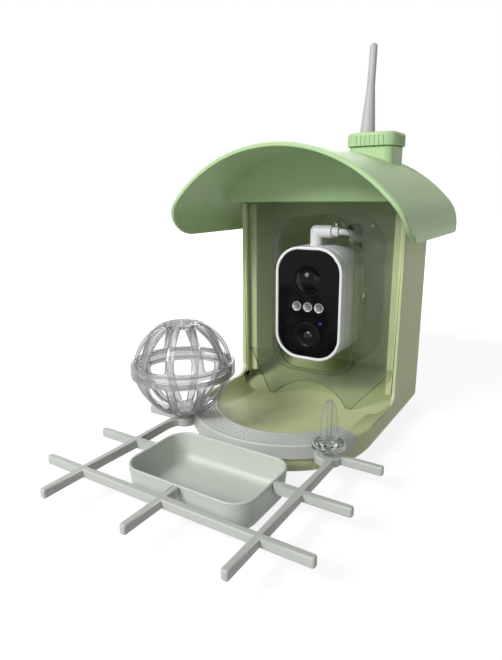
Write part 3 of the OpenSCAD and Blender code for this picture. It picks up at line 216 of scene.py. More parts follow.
finishes = {
    # pale olive ABS of the house
    "bodyAbs": {"color": "#BDC598", "deep": "#B5BD90", "cloud": 60, "grain": 1.1,
                "rough": 0.5, "bump": 0.12},
    # light green ABS of the roof and its cap
    "roofAbs": {"color": "#ACC896", "deep": "#A3C08C", "cloud": 60, "grain": 1.1,
                "rough": 0.42, "bump": 0.12},
    # grey polypropylene of the perch
    "perchPp": {"color": "#B8BBB6", "deep": "#B0B3AE", "cloud": 40, "grain": 1.0,
                "rough": 0.48, "bump": 0.15},
    # grey-green polypropylene of the bowl
    "bowlPp": {"color": "#BEC4BC", "deep": "#B8BEB5", "cloud": 40, "grain": 1.0,
               "rough": 0.42, "bump": 0.08},
    # white ABS of the camera's case, bracket and plug
    "whiteAbs": {"color": "#E2E2E4", "deep": "#DADADD", "cloud": 30, "grain": 0.9,
                 "rough": 0.3, "bump": 0.06},
    # warm grey ABS of the antenna
    "antennaAbs": {"color": "#BAB6B5", "deep": "#B1ADAC", "cloud": 30, "grain": 0.9,
                   "rough": 0.5, "bump": 0.12},
    # white rubber of the lead, the port cover and the button
    "whiteRubber": {"color": "#DCDCDD", "deep": "#D2D2D4", "cloud": 15, "grain": 0.8,
                    "rough": 0.55, "bump": 0.12},
    # black rubber of the seals and the grommet
    "blackRubber": {"color": "#36383A", "deep": "#2C2E30", "cloud": 12, "grain": 0.8,
                    "rough": 0.7, "bump": 0.3},
    # black ABS of the lens barrel, the ports and the speaker
    "lensBlack": {"color": "#0E0E10", "deep": "#09090A", "cloud": 8, "grain": 0.7,
                  "rough": 0.3, "bump": 0.15, "shine": 0.15},
    # glossy black acrylic of the camera's face
    "faceBlack": {"color": "#0A090B", "deep": "#070708", "cloud": 30, "grain": 2.0,
                  "rough": 0.1, "bump": 0.0, "shine": 0.1},
    # green solder mask on glass fibre
    "circuitBoard": {"color": "#1F5B39", "deep": "#174A2E", "cloud": 6, "grain": 1.5,
                     "rough": 0.35, "bump": 0.3},
    # blue shrink film round the battery cells
    "cellWrap": {"color": "#2F6FA8", "deep": "#2A6498", "cloud": 20, "grain": 1.5,
                 "rough": 0.3, "bump": 0.08},
    # lens glass with its violet coating
    "coatedGlass": {"color": "#0C0B16", "deep": "#15112A", "cloud": 5, "grain": 3,
                    "rough": 0.06, "bump": 0.0, "shine": 0.6},
    # black polyethylene of the motion lens
    "pirDome": {"color": "#0D0C0E", "deep": "#080809", "cloud": 6, "grain": 2.6,
                "rough": 0.14, "bump": 0.05, "shine": 0.15},
    # blue epoxy of the status lamp
    "statusBlue": {"color": "#2A35B8", "deep": "#1E2896", "cloud": 1, "grain": 0.6,
                   "rough": 0.2, "bump": 0.05},
    # smoky epoxy bead of a lamp
    "lampBead": {"color": "#6E6C6C", "deep": "#4A4848", "cloud": 1, "grain": 0.8,
                 "rough": 0.1, "bump": 0.0, "shine": 0.6},
}
# edge: colour of the painted shade on a sheet's marked edges and faces
sheets = {
    # clear polycarbonate of the window and its niche
    "windowPc": {"through": "#FAFCF9", "edge": "#8B9974", "milk": "#D5D9D0",
                 "cloud": 0.04, "haze": 8, "rough": 0.03, "ior": 1.4, "mirror": 0.2},
    # clear polycarbonate of the food ball
    "ballPc": {"through": "#F1F0F1", "edge": "#A8A6A8", "milk": "#DAD9DA",
               "cloud": 0.14, "haze": 5, "rough": 0.08, "ior": 1.5, "mirror": 0.8},
    # clear polycarbonate of the spike's thin fins
    "finPc": {"through": "#F6F7F5", "edge": "#8E908E", "milk": "#DCDEDB",
              "cloud": 0.1, "haze": 5, "rough": 0.05, "ior": 1.45, "mirror": 0.3},
}
lumps = {
    # clear polycarbonate of the spike's thick base
    "spikePc": {"color": "#EEF0EE", "through": "#D8DCD8", "haze": 4, "rough": 0.07, "ior": 1.49},
}
metals = {
    # zinc-plated steel of the screws, the hinge pin and the motion sensor's can
    "zincSteel": {"color": "#B9BBBD", "marks": 1.2, "rough": 0.35},
    # brass of the pole insert and the socket
    "brass": {"color": "#C9A85C", "marks": 1.0, "rough": 0.3},
    # metallised cup of a lamp
    "lampSilver": {"color": "#B9BABD", "marks": 1.5, "rough": 0.34},
}
makers = ((mouldedPlastic, finishes), (clearSheet, sheets), (clearLump, lumps), (turnedMetal, metals))
paint = {}
for make, table in makers:
    for name, finish in table.items():
        paint[name] = make(name, finish)
print("materials:", len(paint))


# White cable from the camera's plug back through the wall to the antenna's foot
lead = {"radius": 2.5, "length": 0.0952, "bevelSteps": 5, "curveSteps": 6, "points": [
    (17.5, 4, 154), (21, 4.6, 154), (25, 8, 153), (27.4, 15, 150.5), (26.4, 23, 148), (22.5, 32, 146),
    (17, 40, 144), (12, 46, 144), (9.4, 51, 146), (8.2, 55.5, 148.5), (8, 60, 149.8), (8, 66, 150),
    (8, 71, 151), (8, 76, 154.5), (8, 78.6, 159), (8, 79, 163)]}


def layLead(cable):
    points = [Vector(p) * mm for p in cable["points"]]
    curve = bpy.data.curves.new("antennaLead", "CURVE")
    curve.dimensions = "3D"
    curve.bevel_depth = cable["radius"] * mm
    curve.bevel_resolution = cable["bevelSteps"]
    curve.resolution_u = cable["curveSteps"]
    curve.use_fill_caps = True
    spline = curve.splines.new("BEZIER")
    spline.bezier_points.add(len(points) - 1)
    last = len(points) - 1
    for i, knot in enumerate(spline.bezier_points):
        before, after = points[max(i - 1, 0)], points[min(i + 1, last)]
        slope = (after - before) / (1 if i in (0, last) else 2)
        knot.co = points[i]
        knot.handle_left = points[i] - slope / 3
        knot.handle_right = points[i] + slope / 3
    obj = bpy.data.objects.new("antennaLead", curve)
    bpy.context.collection.objects.link(obj)
    curve.materials.append(paint["whiteRubber"])
    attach(obj, "house")
    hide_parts("antenna_lead")


layLead(lead)
print("lead laid")


# Turning a bmesh into a finished piece, and the shapes that several pieces share
weld = {"node": 2e-6, "turned": 1e-6, "flat": 0.6}   # metres, metres and degrees


def finishPiece(bm, name, body, material, replaced=(), smooth=40, weighted=True):
    mesh = bpy.data.meshes.new(name)
    bm.to_mesh(mesh)
    bm.free()
    mesh.polygons.foreach_set("use_smooth", [True] * len(mesh.polygons))
    mesh.set_sharp_from_angle(angle=math.radians(smooth))
    mesh.materials.append(material)
    obj = bpy.data.objects.new(name, mesh)
    bpy.context.collection.objects.link(obj)
    if weighted:
        level = obj.modifiers.new("level", "WEIGHTED_NORMAL")
        level.keep_sharp = True
    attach(obj, body)
    if replaced:
        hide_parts(*replaced)


def nodeCopy(name):
    bm = bmesh.new()
    bm.from_mesh(nodes[name].data)
    bmesh.ops.remove_doubles(bm, verts=bm.verts, dist=weld["node"])
    bmesh.ops.dissolve_limit(bm, angle_limit=math.radians(weld["flat"]), use_dissolve_boundaries=False,
                             verts=bm.verts, edges=bm.edges, delimit=set())
    return bm


def vertsOf(geom):
    return [g for g in geom if isinstance(g, bmesh.types.BMVert)]


def edgesOf(geom):
    return [g for g in geom if isinstance(g, bmesh.types.BMEdge)]


def faceOf(geom):
    return next(g for g in geom if isinstance(g, bmesh.types.BMFace))


def dropFace(bm, face):
    if face.is_valid:
        bmesh.ops.delete(bm, geom=[face], context="FACES_ONLY")


# Marks painted shade on faces, in the rim attribute that the clear sheets read
def markPaintedShade(bm, shade):
    layer = bm.faces.layers.float.new("rim")
    for f in bm.faces:
        f[layer] = float(shade(f))


def stripWidth(face):
    return 2 * face.calc_area() / face.calc_perimeter() / mm


def sharpEdges(bm, angle, test=lambda e: True):
    limit = math.radians(angle)
    return [e for e in bm.edges if e.is_manifold and e.calc_face_angle(0) > limit and test(e)]


def roundEdges(bm, edges, width, segments=3, clamp=False):
    if edges:
        bmesh.ops.bevel(bm, geom=edges, offset=width * mm, offset_type="OFFSET", segments=segments,
                        profile=0.5, affect="EDGES", clamp_overlap=clamp, material=-1)


def middle(edge):
    return (edge.verts[0].co + edge.verts[1].co) / 2


def atHeight(edge, z, slack=0.02):
    return all(abs(v.co.z - z * mm) < slack * mm for v in edge.verts)


def turnedPiece(bm, profile, steps, axis=(0, 0, 1), center=(0, 0, 0)):
    verts = [bm.verts.new(p) for p in profile]
    edges = [bm.edges.new((verts[i], verts[i + 1])) for i in range(len(verts) - 1)]
    before = set(bm.verts) - set(verts)
    bmesh.ops.spin(bm, geom=verts + edges, cent=center, axis=axis, dvec=(0, 0, 0), angle=math.radians(360),
                   steps=steps, use_merge=True, use_duplicate=False)
    bmesh.ops.remove_doubles(bm, verts=[v for v in bm.verts if v not in before], dist=weld["turned"])
    made = [v for v in bm.verts if v not in before]
    bmesh.ops.recalc_face_normals(bm, faces=list(dict.fromkeys(f for v in made for f in v.link_faces)))


def turnAboutZ(bm, angle):
    bmesh.ops.rotate(bm, cent=(0, 0, 0), matrix=Matrix.Rotation(math.radians(angle), 3, "Z"), verts=bm.verts)


def roundedPlate(bm, width, depth, corner, segments):
    bmesh.ops.create_grid(bm, x_segments=1, y_segments=1, size=0.5)
    bmesh.ops.scale(bm, vec=(width, depth, 1), verts=bm.verts)
    bmesh.ops.bevel(bm, geom=bm.verts[:], offset=corner * mm, offset_type="OFFSET", segments=segments,
                    profile=0.5, affect="VERTICES", clamp_overlap=False, material=-1)


def softBox(bm, place, size, edge):
    verts = bmesh.ops.create_cube(bm, size=1, matrix=place @ Matrix.Diagonal(size + (1,)))["verts"]
    roundEdges(bm, list(dict.fromkeys(e for v in verts for e in v.link_edges)), edge, segments=2, clamp=True)


# House: walls and base are one moulding to the eye, so the seam between the two solids stays flush
house = {"edge": 0.7, "lip": 1.3, "lipMin": 20, "slack": 0.01, "rim": 1.1, "seam": 23, "seamClear": 0.2,
         "front": -9.5}


def buildHouse():
    walls = nodeCopy("house_walls")
    lips = [e for e in sharpEdges(walls, angle=60) if all(abs(v.co.y) < house["slack"] * mm for v in e.verts)
            and abs(e.verts[0].co.z - e.verts[1].co.z) > house["lipMin"] * mm]
    roundEdges(walls, lips, house["lip"], segments=4)
    above = (house["seam"] + house["seamClear"]) * mm
    upper = sharpEdges(walls, angle=30, test=lambda e: min(v.co.z for v in e.verts) > above)
    roundEdges(walls, upper, house["edge"])
    finishPiece(walls, "houseWalls", "house", paint["bodyAbs"], ["house_walls"])
    base = nodeCopy("house_base")
    rim = [e for e in sharpEdges(base, angle=30) if atHeight(e, house["seam"])
           and middle(e).y < house["front"] * mm]
    roundEdges(base, rim, house["rim"])
    finishPiece(base, "houseBase", "house", paint["bodyAbs"], ["house_base"])


buildHouse()
print("house built")


# Roof: arched shell, with moulded ridges over its outer skin, drawn as coarse as they need to be to show
roof = {"edge": 0.6, "radius": 112.5, "top": 216, "half": 92, "eave": 152, "eaveEdge": 6, "front": -74,
        "rear": 70, "cornerFront": 30, "cornerRear": 4, "neck": (31, 42, 17, 15), "wall": 3.4,
        "wallSlack": 0.04, "thin": 0.8, "pitch": 6.0, "ridge": 0.36, "lift": 0.03, "margin": 1.2,
        "sink": 0.06, "shoulderSteps": 10, "archSteps": 44,
        "ridgeLine": ((0, 0.0), (0.12, 0.3), (0.3, 0.9), (0.4, 1.0), (0.5, 0.9), (0.75, 0.3))}


def archShape():
    archZ = roof["top"] - roof["radius"]
    shoulderZ = roof["eave"] + roof["eaveEdge"]
    up = shoulderZ - archZ
    shoulderR = (roof["radius"] ** 2 - roof["half"] ** 2 - up ** 2) / (2 * (roof["radius"] - roof["half"]))
    shoulderX = roof["half"] - shoulderR
    return archZ, shoulderX, shoulderZ, shoulderR, math.degrees(math.atan2(up, shoulderX))


def offArch(point):   # how far a point stands off the arch's outer face, and which way is out
    archZ, shoulderX, shoulderZ, shoulderR, lean = archShape()
    x, z = abs(point.x) / mm, point.z / mm
    side = math.copysign(1, point.x)
    if z <= shoulderZ:
        return x - roof["half"], Vector((side, 0, 0))
    high = math.degrees(math.atan2(z - archZ, x)) > lean
    midX, midZ, radius = (0, archZ, roof["radius"]) if high else (shoulderX, shoulderZ, shoulderR)
    reach = math.hypot(x - midX, z - midZ)
    return reach - radius, Vector((side * (x - midX) / reach, 0, (z - midZ) / reach))


def buildShell():
    shell = nodeCopy("roof")
    for v in shell.verts:   # the arch's wall is thinned from its inner face
        off, way = offArch(v.co)
        if abs(off + roof["wall"]) < roof["wallSlack"]:
            v.co += way * roof["thin"] * mm
    roundEdges(shell, sharpEdges(shell, angle=35), roof["edge"])
    finishPiece(shell, "roofShell", "roof_unit", paint["roofAbs"], ["roof"])


def sweepRidges():
    archZ, shoulderX, shoulderZ, _, lean = archShape()
    bm = bmesh.new()
    line = []
    for i in range(int((roof["rear"] - roof["front"]) / roof["pitch"])):
        for share, height in roof["ridgeLine"]:
            line.append(bm.verts.new(((roof["half"] + roof["lift"] + roof["ridge"] * height) * mm,
                                      (roof["front"] + (i + share) * roof["pitch"]) * mm, roof["eave"] * mm)))
    edges = [bm.edges.new((line[i], line[i + 1])) for i in range(len(line) - 1)]
    rise = bmesh.ops.extrude_edge_only(bm, edges=edges)["geom"]
    bmesh.ops.translate(bm, verts=vertsOf(rise), vec=(0, 0, roof["eaveEdge"] * mm))
    tip = vertsOf(rise) + edgesOf(rise)
    for x, z, sweep, steps in ((shoulderX, shoulderZ, lean, roof["shoulderSteps"]),
                               (0, archZ, 180 - 2 * lean, roof["archSteps"]),
                               (-shoulderX, shoulderZ, lean, roof["shoulderSteps"])):
        tip = bmesh.ops.spin(bm, geom=tip, cent=(x * mm, 0, z * mm), axis=(0, -1, 0), dvec=(0, 0, 0),
                             angle=math.radians(sweep), steps=steps, use_merge=False,
                             use_duplicate=False)["geom_last"]
    drop = bmesh.ops.extrude_edge_only(bm, edges=edgesOf(tip))["geom"]
    bmesh.ops.translate(bm, verts=vertsOf(drop), vec=(0, 0, -roof["eaveEdge"] * mm))
    return bm


def buildRidges():
    bm = sweepRidges()
    frontR, rearR, margin = roof["cornerFront"], roof["cornerRear"], roof["margin"]
    for v in bm.verts:   # the lower front corners sweep back in a large round, the rear ones in a small one
        z = max(v.co.z / mm, roof["eave"] + margin)
        front = roof["front"] + frontR - math.sqrt(frontR ** 2 - max(0, roof["eave"] + frontR - z) ** 2)
        rear = roof["rear"] - rearR + math.sqrt(max(0, rearR ** 2 - max(0, roof["eave"] + rearR - z) ** 2))
        v.co.y = min(max(v.co.y, (front + margin) * mm), (rear - margin) * mm)
        v.co.z = max(v.co.z, (roof["eave"] + margin) * mm)
    x, y, halfX, halfY = roof["neck"]
    inside = [f for f in bm.faces if abs(f.calc_center_median().x / mm - x) < halfX
              and abs(f.calc_center_median().y / mm - y) < halfY]
    bmesh.ops.delete(bm, geom=inside, context="FACES")
    bmesh.ops.remove_doubles(bm, verts=bm.verts, dist=weld["turned"])
    bmesh.ops.recalc_face_normals(bm, faces=bm.faces)
    if sum(f.normal.z for f in bm.faces) < 0:
        bmesh.ops.reverse_faces(bm, faces=bm.faces)
    for v in [v for v in bm.verts if v.is_boundary]:   # the skin's border dips into the shell
        off, way = offArch(v.co)
        v.co -= way * (off + roof["sink"]) * mm
    finishPiece(bm, "roofRidges", "roof_unit", paint["roofAbs"], smooth=80, weighted=False)


buildShell()
buildRidges()
print("roof built")


# Refill cap: a rounded square cup, open below, with grip ribs on its sides and a soft top edge
cap = {"edge": 0.35, "top": 2.2, "corner": 9, "cornerSteps": 10, "wall": 2.4, "gripW": 1.4, "gripStep": 3.6,
       "proud": 0.7, "short": 2.0}


def buildCap():
    low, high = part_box("refill_cap")
    x, y = (low[0] + high[0]) / 2, (low[1] + high[1]) / 2
    proud, wall = cap["proud"] * mm, cap["wall"] * mm
    w, d, tall = high[0] - low[0] - 2 * proud, high[1] - low[1] - 2 * proud, high[2] - low[2]
    bm = bmesh.new()
    roundedPlate(bm, w, d, cap["corner"], cap["cornerSteps"])
    made = bmesh.ops.extrude_face_region(bm, geom=bm.faces[:])["geom"]
    bmesh.ops.translate(bm, verts=vertsOf(made), vec=(0, 0, tall))
    mouth = next(f for f in bm.faces if all(abs(v.co.z) < weld["node"] for v in f.verts))
    bmesh.ops.inset_region(bm, faces=[mouth], thickness=wall, use_even_offset=True)
    made = bmesh.ops.extrude_face_region(bm, geom=[mouth])["geom"]
    bmesh.ops.translate(bm, verts=vertsOf(made), vec=(0, 0, tall - wall))
    dropFace(bm, mouth)
    bmesh.ops.recalc_face_normals(bm, faces=bm.faces)
    roundEdges(bm, [e for e in sharpEdges(bm, angle=40) if atHeight(e, tall / mm)], cap["top"], segments=5)
    roundEdges(bm, [e for e in sharpEdges(bm, angle=40) if atHeight(e, 0)], cap["edge"], segments=2)
    gripH = tall - cap["short"] * mm
    for side, along, turn in ((d / 2, w, 0), (w / 2, d, 90)):
        count = int((along / mm - 2 * cap["corner"]) / cap["gripStep"] / 2)
        for i in range(-count, count + 1):
            for way in (-1, 1):
                place = (Matrix.Rotation(math.radians(turn), 4, "Z")
                         @ Matrix.Translation((i * cap["gripStep"] * mm, way * side, gripH / 2)))
                softBox(bm, place, (cap["gripW"] * mm, 2 * proud, gripH), cap["edge"])
    bmesh.ops.translate(bm, verts=bm.verts, vec=(x, y, low[2]))
    finishPiece(bm, "refillCap", "cap_unit", paint["roofAbs"], ["refill_cap"])


buildCap()
print("cap built")


# Clear window with the niche round the camera
window = {"edge": 0.35, "shrink": 0.04, "foot": 60, "strip": 2.6, "lowEdgePaintedShade": 1.0, "highEdgePaintedShade": 0.3,
          "footPaintedShade": 0.12, "nichePaintedShade": 0.45, "nicheFront": -0.7}


def buildWindow():
    pane = nodeCopy("seed_window")

    def paintedSheetShade(f):   # painted shade: cut edges darker, the low ones most, and the leaning foot a little darker than the upright sheet
        low = f.calc_center_median().z < window["foot"] * mm
        if stripWidth(f) < window["strip"]:
            return window["lowEdgePaintedShade"] if low else window["highEdgePaintedShade"]
        return window["footPaintedShade"] * low

    markPaintedShade(pane, paintedSheetShade)
    roundEdges(pane, sharpEdges(pane, angle=50), window["edge"], segments=2)
    finishPiece(pane, "seedWindow", "house", paint["windowPc"], ["seed_window"],
                smooth=20, weighted=False)
    niche = nodeCopy("camera_niche")
    niche.normal_update()
    for v in niche.verts:   # a hair smaller than the hole that it fills
        v.co -= v.normal * window["shrink"] * mm
    # painted shade on the niche's front-facing faces
    markPaintedShade(niche, lambda f: window["nichePaintedShade"] * (f.normal.y < window["nicheFront"]))
    roundEdges(niche, sharpEdges(niche, angle=50), window["edge"], segments=2)
    finishPiece(niche, "cameraNiche", "house", paint["windowPc"], ["camera_niche"],
                smooth=20, weighted=False)


buildWindow()
print("window built")


# Perch: a lattice of rounded bars, and a ring turned with fine grooves
perch = {"bar": 1.1, "top": 21, "low": 15, "ringY": -48, "ringIn": 54, "ringOut": 73.3, "ringLow": 23.3,
         "ringTop": 25.3, "ringClear": 0.4, "ringSlack": 0.02, "apron": 2.0, "apronEdge": 0.4,
         "grooves": 6, "grooveW": 0.9, "grooveD": 0.6, "grooveEdge": 0.12, "grooveLip": 0.1,
         "grooveLean": 0.55, "border": 2, "innerEdge": 0.5, "innerSoft": 0.15, "half": 69, "steps": 120,
         "edge": 1.4, "seat": (59, -100.5), "seatR": 4, "stubHalf": 4, "stubY": -149,
         "sideStub": (46, 61), "frontStub": (-193, -181)}


def ringProfile():
    inner, outer, low, top = perch["ringIn"], perch["ringOut"], perch["ringLow"], perch["ringTop"]
    edge, soft, floor, lip = perch["edge"], perch["innerEdge"], perch["low"], perch["grooveLip"]
    line = [(inner, low), (inner, top - soft), (inner + perch["innerSoft"], top - perch["innerSoft"]),
            (inner + soft, top)]
    step = (outer - inner - 2 * perch["border"]) / perch["grooves"]
    w, d, brim = perch["grooveW"] / 2, perch["grooveD"], perch["grooveEdge"]
    for i in range(perch["grooves"]):
        r = inner + perch["border"] + i * step + w
        lean = w * perch["grooveLean"]
        line += [(r - w - brim, top), (r - w, top - lip), (r - lean, top - d), (r + lean, top - d),
                 (r + w, top - lip), (r + w + brim, top)]
    line += [(outer - edge + edge * math.sin(math.radians(a)), top - edge + edge * math.cos(math.radians(a)))
             for a in range(0, 91, 15)]
    hem, back = perch["apronEdge"], outer - perch["apron"]
    return line + [(outer, floor + soft), (outer - soft, floor), (back + hem, floor), (back, floor + hem),
                   (back, low)]


def buildPerch():
    bm = nodeCopy("perch_frame")
    seatX, seatY = perch["seat"]

    def fromRing(p):
        return math.hypot(p.x, p.y - perch["ringY"] * mm) / mm

    def onBar(e):
        p = middle(e) / mm
        seat = any(math.hypot(p.x - s * seatX, p.y - seatY) < perch["seatR"] for s in (-1, 1))
        level = atHeight(e, perch["top"]) or atHeight(e, perch["low"])
        return fromRing(middle(e)) > perch["ringOut"] + perch["ringClear"] and not seat and level

    def onStub(e):
        p = middle(e) / mm
        near, far = perch["sideStub"]
        first, last = perch["frontStub"]
        return (abs(p.y - perch["stubY"]) < perch["stubHalf"] and near < abs(p.x) < far
                or abs(p.x) < perch["stubHalf"] and first < p.y < last)

    bars = sharpEdges(bm, angle=40, test=lambda e: onBar(e) and not onStub(e))
    roundEdges(bm, bars, perch["bar"], segments=3)
    reach = perch["ringOut"] + perch["ringSlack"]
    ring = [f for f in bm.faces if all(fromRing(v.co) < reach for v in f.verts)]
    bmesh.ops.delete(bm, geom=ring, context="FACES")
    finishPiece(bm, "perchFrame", "perch", paint["perchPp"], ["perch_frame"])
    bm = bmesh.new()
    start = math.radians(-90 - perch["half"])
    verts = [bm.verts.new((r * math.cos(start) * mm, (perch["ringY"] + r * math.sin(start)) * mm, z * mm))
             for r, z in ringProfile()]
    face = bm.faces.new(verts)
    bmesh.ops.spin(bm, geom=[face] + list(face.edges) + verts, cent=(0, perch["ringY"] * mm, 0),
                   axis=(0, 0, 1), dvec=(0, 0, 0), angle=math.radians(2 * perch["half"]),
                   steps=perch["steps"], use_merge=False, use_duplicate=False)
    bmesh.ops.recalc_face_normals(bm, faces=bm.faces)
    finishPiece(bm, "perchRing", "perch", paint["perchPp"], smooth=25)


buildPerch()
print("perch built")


# Fruit bowl: thin-walled tray with a rolled rim, hung on three lugs
bowl = {"length": 93, "width": 60, "corner": 14, "cornerSteps": 12, "rim": 21.4, "low": 0.4, "lean": 2,
        "wall": 2, "y": -151.9, "foot": 5, "floor": 5, "lip": 0.9, "lug": (7, 2.2, 3.5), "lugSunk": 0.6,
        "lugEdge": 0.3, "lugTop": 21, "sideLugY": -149}


def buildBowl():
    bm = bmesh.new()
    length, width, low, rim, sunk = bowl["length"], bowl["width"], bowl["low"], bowl["rim"], bowl["lugSunk"]
    footL, footW = length - 2 * bowl["lean"], width - 2 * bowl["lean"]
    floor = low + bowl["wall"]
    roundedPlate(bm, footL * mm, footW * mm, bowl["corner"], bowl["cornerSteps"])
    bmesh.ops.translate(bm, verts=bm.verts, vec=(0, 0, low * mm))
    made = bmesh.ops.extrude_face_region(bm, geom=bm.faces[:])["geom"]
    bmesh.ops.translate(bm, verts=vertsOf(made), vec=(0, 0, (rim - low) * mm))
    bmesh.ops.scale(bm, vec=(length / footL, width / footW, 1), verts=vertsOf(made))
    mouth = faceOf(made)
    bmesh.ops.inset_region(bm, faces=[mouth], thickness=bowl["wall"] * mm, use_even_offset=True)
    made = bmesh.ops.extrude_face_region(bm, geom=[mouth])["geom"]
    bmesh.ops.translate(bm, verts=vertsOf(made), vec=(0, 0, (floor - rim) * mm))
    bmesh.ops.scale(bm, vec=(footL / length, footW / width, 1), verts=vertsOf(made))
    dropFace(bm, mouth)
    bmesh.ops.recalc_face_normals(bm, faces=bm.faces)
    for z, radius, segments in ((low, bowl["foot"], 6), (floor, bowl["floor"], 6), (rim, bowl["lip"], 4)):
        roundEdges(bm, [e for e in sharpEdges(bm, angle=30) if atHeight(e, z)], radius, segments)
    bmesh.ops.translate(bm, verts=bm.verts, vec=(0, bowl["y"] * mm, 0))
    reach, wide, tall = bowl["lug"][0] + sunk, bowl["lug"][1], bowl["lug"][2]
    sideX, sideY, frontY = length / 2 - sunk, bowl["sideLugY"], bowl["y"] - width / 2 + sunk
    for x, y, wayX, wayY in ((sideX, sideY, 1, 0), (-sideX, sideY, -1, 0), (0, frontY, 0, -1)):
        size = (reach, wide, tall) if wayX else (wide, reach, tall)
        place = Matrix.Translation(((x + wayX * reach / 2) * mm, (y + wayY * reach / 2) * mm,
                                    (bowl["lugTop"] - tall / 2) * mm))
        softBox(bm, place, tuple(s * mm for s in size), bowl["lugEdge"])
    finishPiece(bm, "fruitBowl", "bowl", paint["bowlPp"], ["fruit_bowl"])


buildBowl()
print("bowl built")


# Food ball: two clear cage halves with ten ribs, rounded windows and a banded rim
ball = {"center": (-59, -100.5, 59.46), "radius": 36, "wall": 2.5, "ribs": 10, "rib": 5.6, "turn": 5.5,
        "band": 2.4, "bandClear": 1, "sectorSteps": 10, "heightSteps": 48, "softRounds": 10,
        "poleTop": 33.76, "windowTop": 75, "edge": 0.4, "strip": 0.4, "stripFacing": 0.93,
        "sideFacing": 0.6, "sidePaintedShade": 0.1, "rimOut": 38.2, "rimIn": 36.05, "rimTop": 5, "rimSoft": 0.9,
        "rimEdge": 0.5, "groove": 0.35, "grooveAt": (2.1, 2.3, 2.7, 2.9), "seam": 0.15, "footR": 5.2,
        "footLow": 21.3, "footGap": 0.02, "pegR": 2.5, "pegLow": 15.8, "pegEdge": 0.4}


def roundWindows(loops):
    for _ in range(ball["softRounds"]):
        fresh = {}
        for v in loops:
            ends = [e.other_vert(v).co for e in v.link_edges if e.is_boundary]
            fresh[v] = v.co * 0.5 + (ends[0] + ends[1]) * 0.25
        for v, co in fresh.items():
            v.co = co


def cutWindows(bm):
    sector = 2 * math.pi / ball["ribs"]
    for k in range(ball["ribs"]):
        patch = []
        for f in bm.faces:
            c = f.calc_center_median()
            height = math.degrees(math.asin(min(1, c.z / c.length)))
            if height < ball["windowTop"] and int((math.atan2(c.y, c.x) % (2 * math.pi)) / sector) == k:
                patch.append(f)
        bmesh.ops.inset_region(bm, faces=patch, thickness=ball["rib"] / 2 * mm, use_even_offset=True,
                               use_boundary=True)
        bmesh.ops.delete(bm, geom=patch, context="FACES")
    roundWindows([v for v in bm.verts if v.is_boundary and v.co.z > (ball["band"] + ball["bandClear"]) * mm])


def paintedRibShade(f):   # painted shade on the bevel strips and cut sides of the ribs, not the narrow faces round the pole
    facing = abs(f.normal.dot(f.calc_center_median().normalized()))
    strip = stripWidth(f) < ball["strip"] and facing < ball["stripFacing"]
    return strip or ball["sidePaintedShade"] * (facing < ball["sideFacing"])


def addRim(bm):
    out, inner, top, seam, edge = ball["rimOut"], ball["rimIn"], ball["rimTop"], ball["seam"], ball["rimEdge"]
    deep, soft = out - ball["groove"], out - ball["rimSoft"]
    a, b, c, d = ball["grooveAt"]
    profile = [(inner, seam), (out - edge, seam), (out, seam + edge), (out, a), (deep, b), (deep, c),
               (out, d), (out, top - ball["rimSoft"]), (soft, top), (inner, top), (inner, seam)]
    turnedPiece(bm, [(x * mm, 0, z * mm) for x, z in profile], steps=96)


def addFoot(bm):   # built upside down, with the half that it stands under
    high, edge, footR, pegR = ball["center"][2], ball["pegEdge"], ball["footR"], ball["pegR"]
    pole, foot, peg = ball["poleTop"] + ball["footGap"], high - ball["footLow"], high - ball["pegLow"]
    profile = [(0, pole), (footR, pole), (footR, foot - edge), (footR - edge, foot), (pegR, foot),
               (pegR, peg - edge), (pegR - edge, peg), (0, peg)]
    turnedPiece(bm, [(x * mm, 0, z * mm) for x, z in profile], steps=40)


def buildCage(name, body, up, replaced):
    bm = bmesh.new()
    r = ball["radius"] * mm
    bmesh.ops.create_uvsphere(bm, u_segments=ball["ribs"] * ball["sectorSteps"],
                              v_segments=ball["heightSteps"], radius=r)
    bmesh.ops.bisect_plane(bm, geom=bm.verts[:] + bm.edges[:] + bm.faces[:], dist=1e-7,
                           plane_co=(0, 0, ball["band"] * mm), plane_no=(0, 0, 1), clear_inner=True)
    cutWindows(bm)
    for v in bm.verts:
        v.co = v.co.normalized() * r
        v.co.z = min(v.co.z, ball["poleTop"] * mm)
    turnAboutZ(bm, ball["turn"])
    bmesh.ops.recalc_face_normals(bm, faces=bm.faces)
    if sum(f.normal.dot(f.calc_center_median()) for f in bm.faces) < 0:
        bmesh.ops.reverse_faces(bm, faces=bm.faces)
    bmesh.ops.solidify(bm, geom=bm.faces[:], thickness=ball["wall"] * mm)
    bmesh.ops.recalc_face_normals(bm, faces=bm.faces)
    roundEdges(bm, sharpEdges(bm, angle=50), ball["edge"], segments=2)
    markPaintedShade(bm, paintedRibShade)
    addRim(bm)
    if not up:
        addFoot(bm)
        bmesh.ops.scale(bm, vec=(1, 1, -1), verts=bm.verts)
        bmesh.ops.reverse_faces(bm, faces=bm.faces)
    bmesh.ops.translate(bm, verts=bm.verts, vec=Vector(ball["center"]) * mm)
    finishPiece(bm, name, body, paint["ballPc"], replaced, smooth=30, weighted=False)


buildCage("ballUpper", "ball_lid", True, ["ball_upper"])
buildCage("ballLower", "ball_base", False, ["ball_lower", "ball_foot"])
print("ball built")


# Fruit spike: crossed fins on a dished base
spike = {"place": (59, -100.5, 0), "seat": 21.3, "foot": 25.7, "baseR": 11, "baseTop": 31.7, "tip": 26,
         "r": 5.6, "full": 2.5, "fin": 2.4, "turn": 20, "footR": 5.2, "pegR": 2.5, "pegLow": 15.8,
         "finLow": 28.9, "levels": 12, "finEdge": 0.35, "finStrip": 0.35, "finPaintedShade": 0.3,
         "thinnest": 1.02, "armFrom": 1.01}


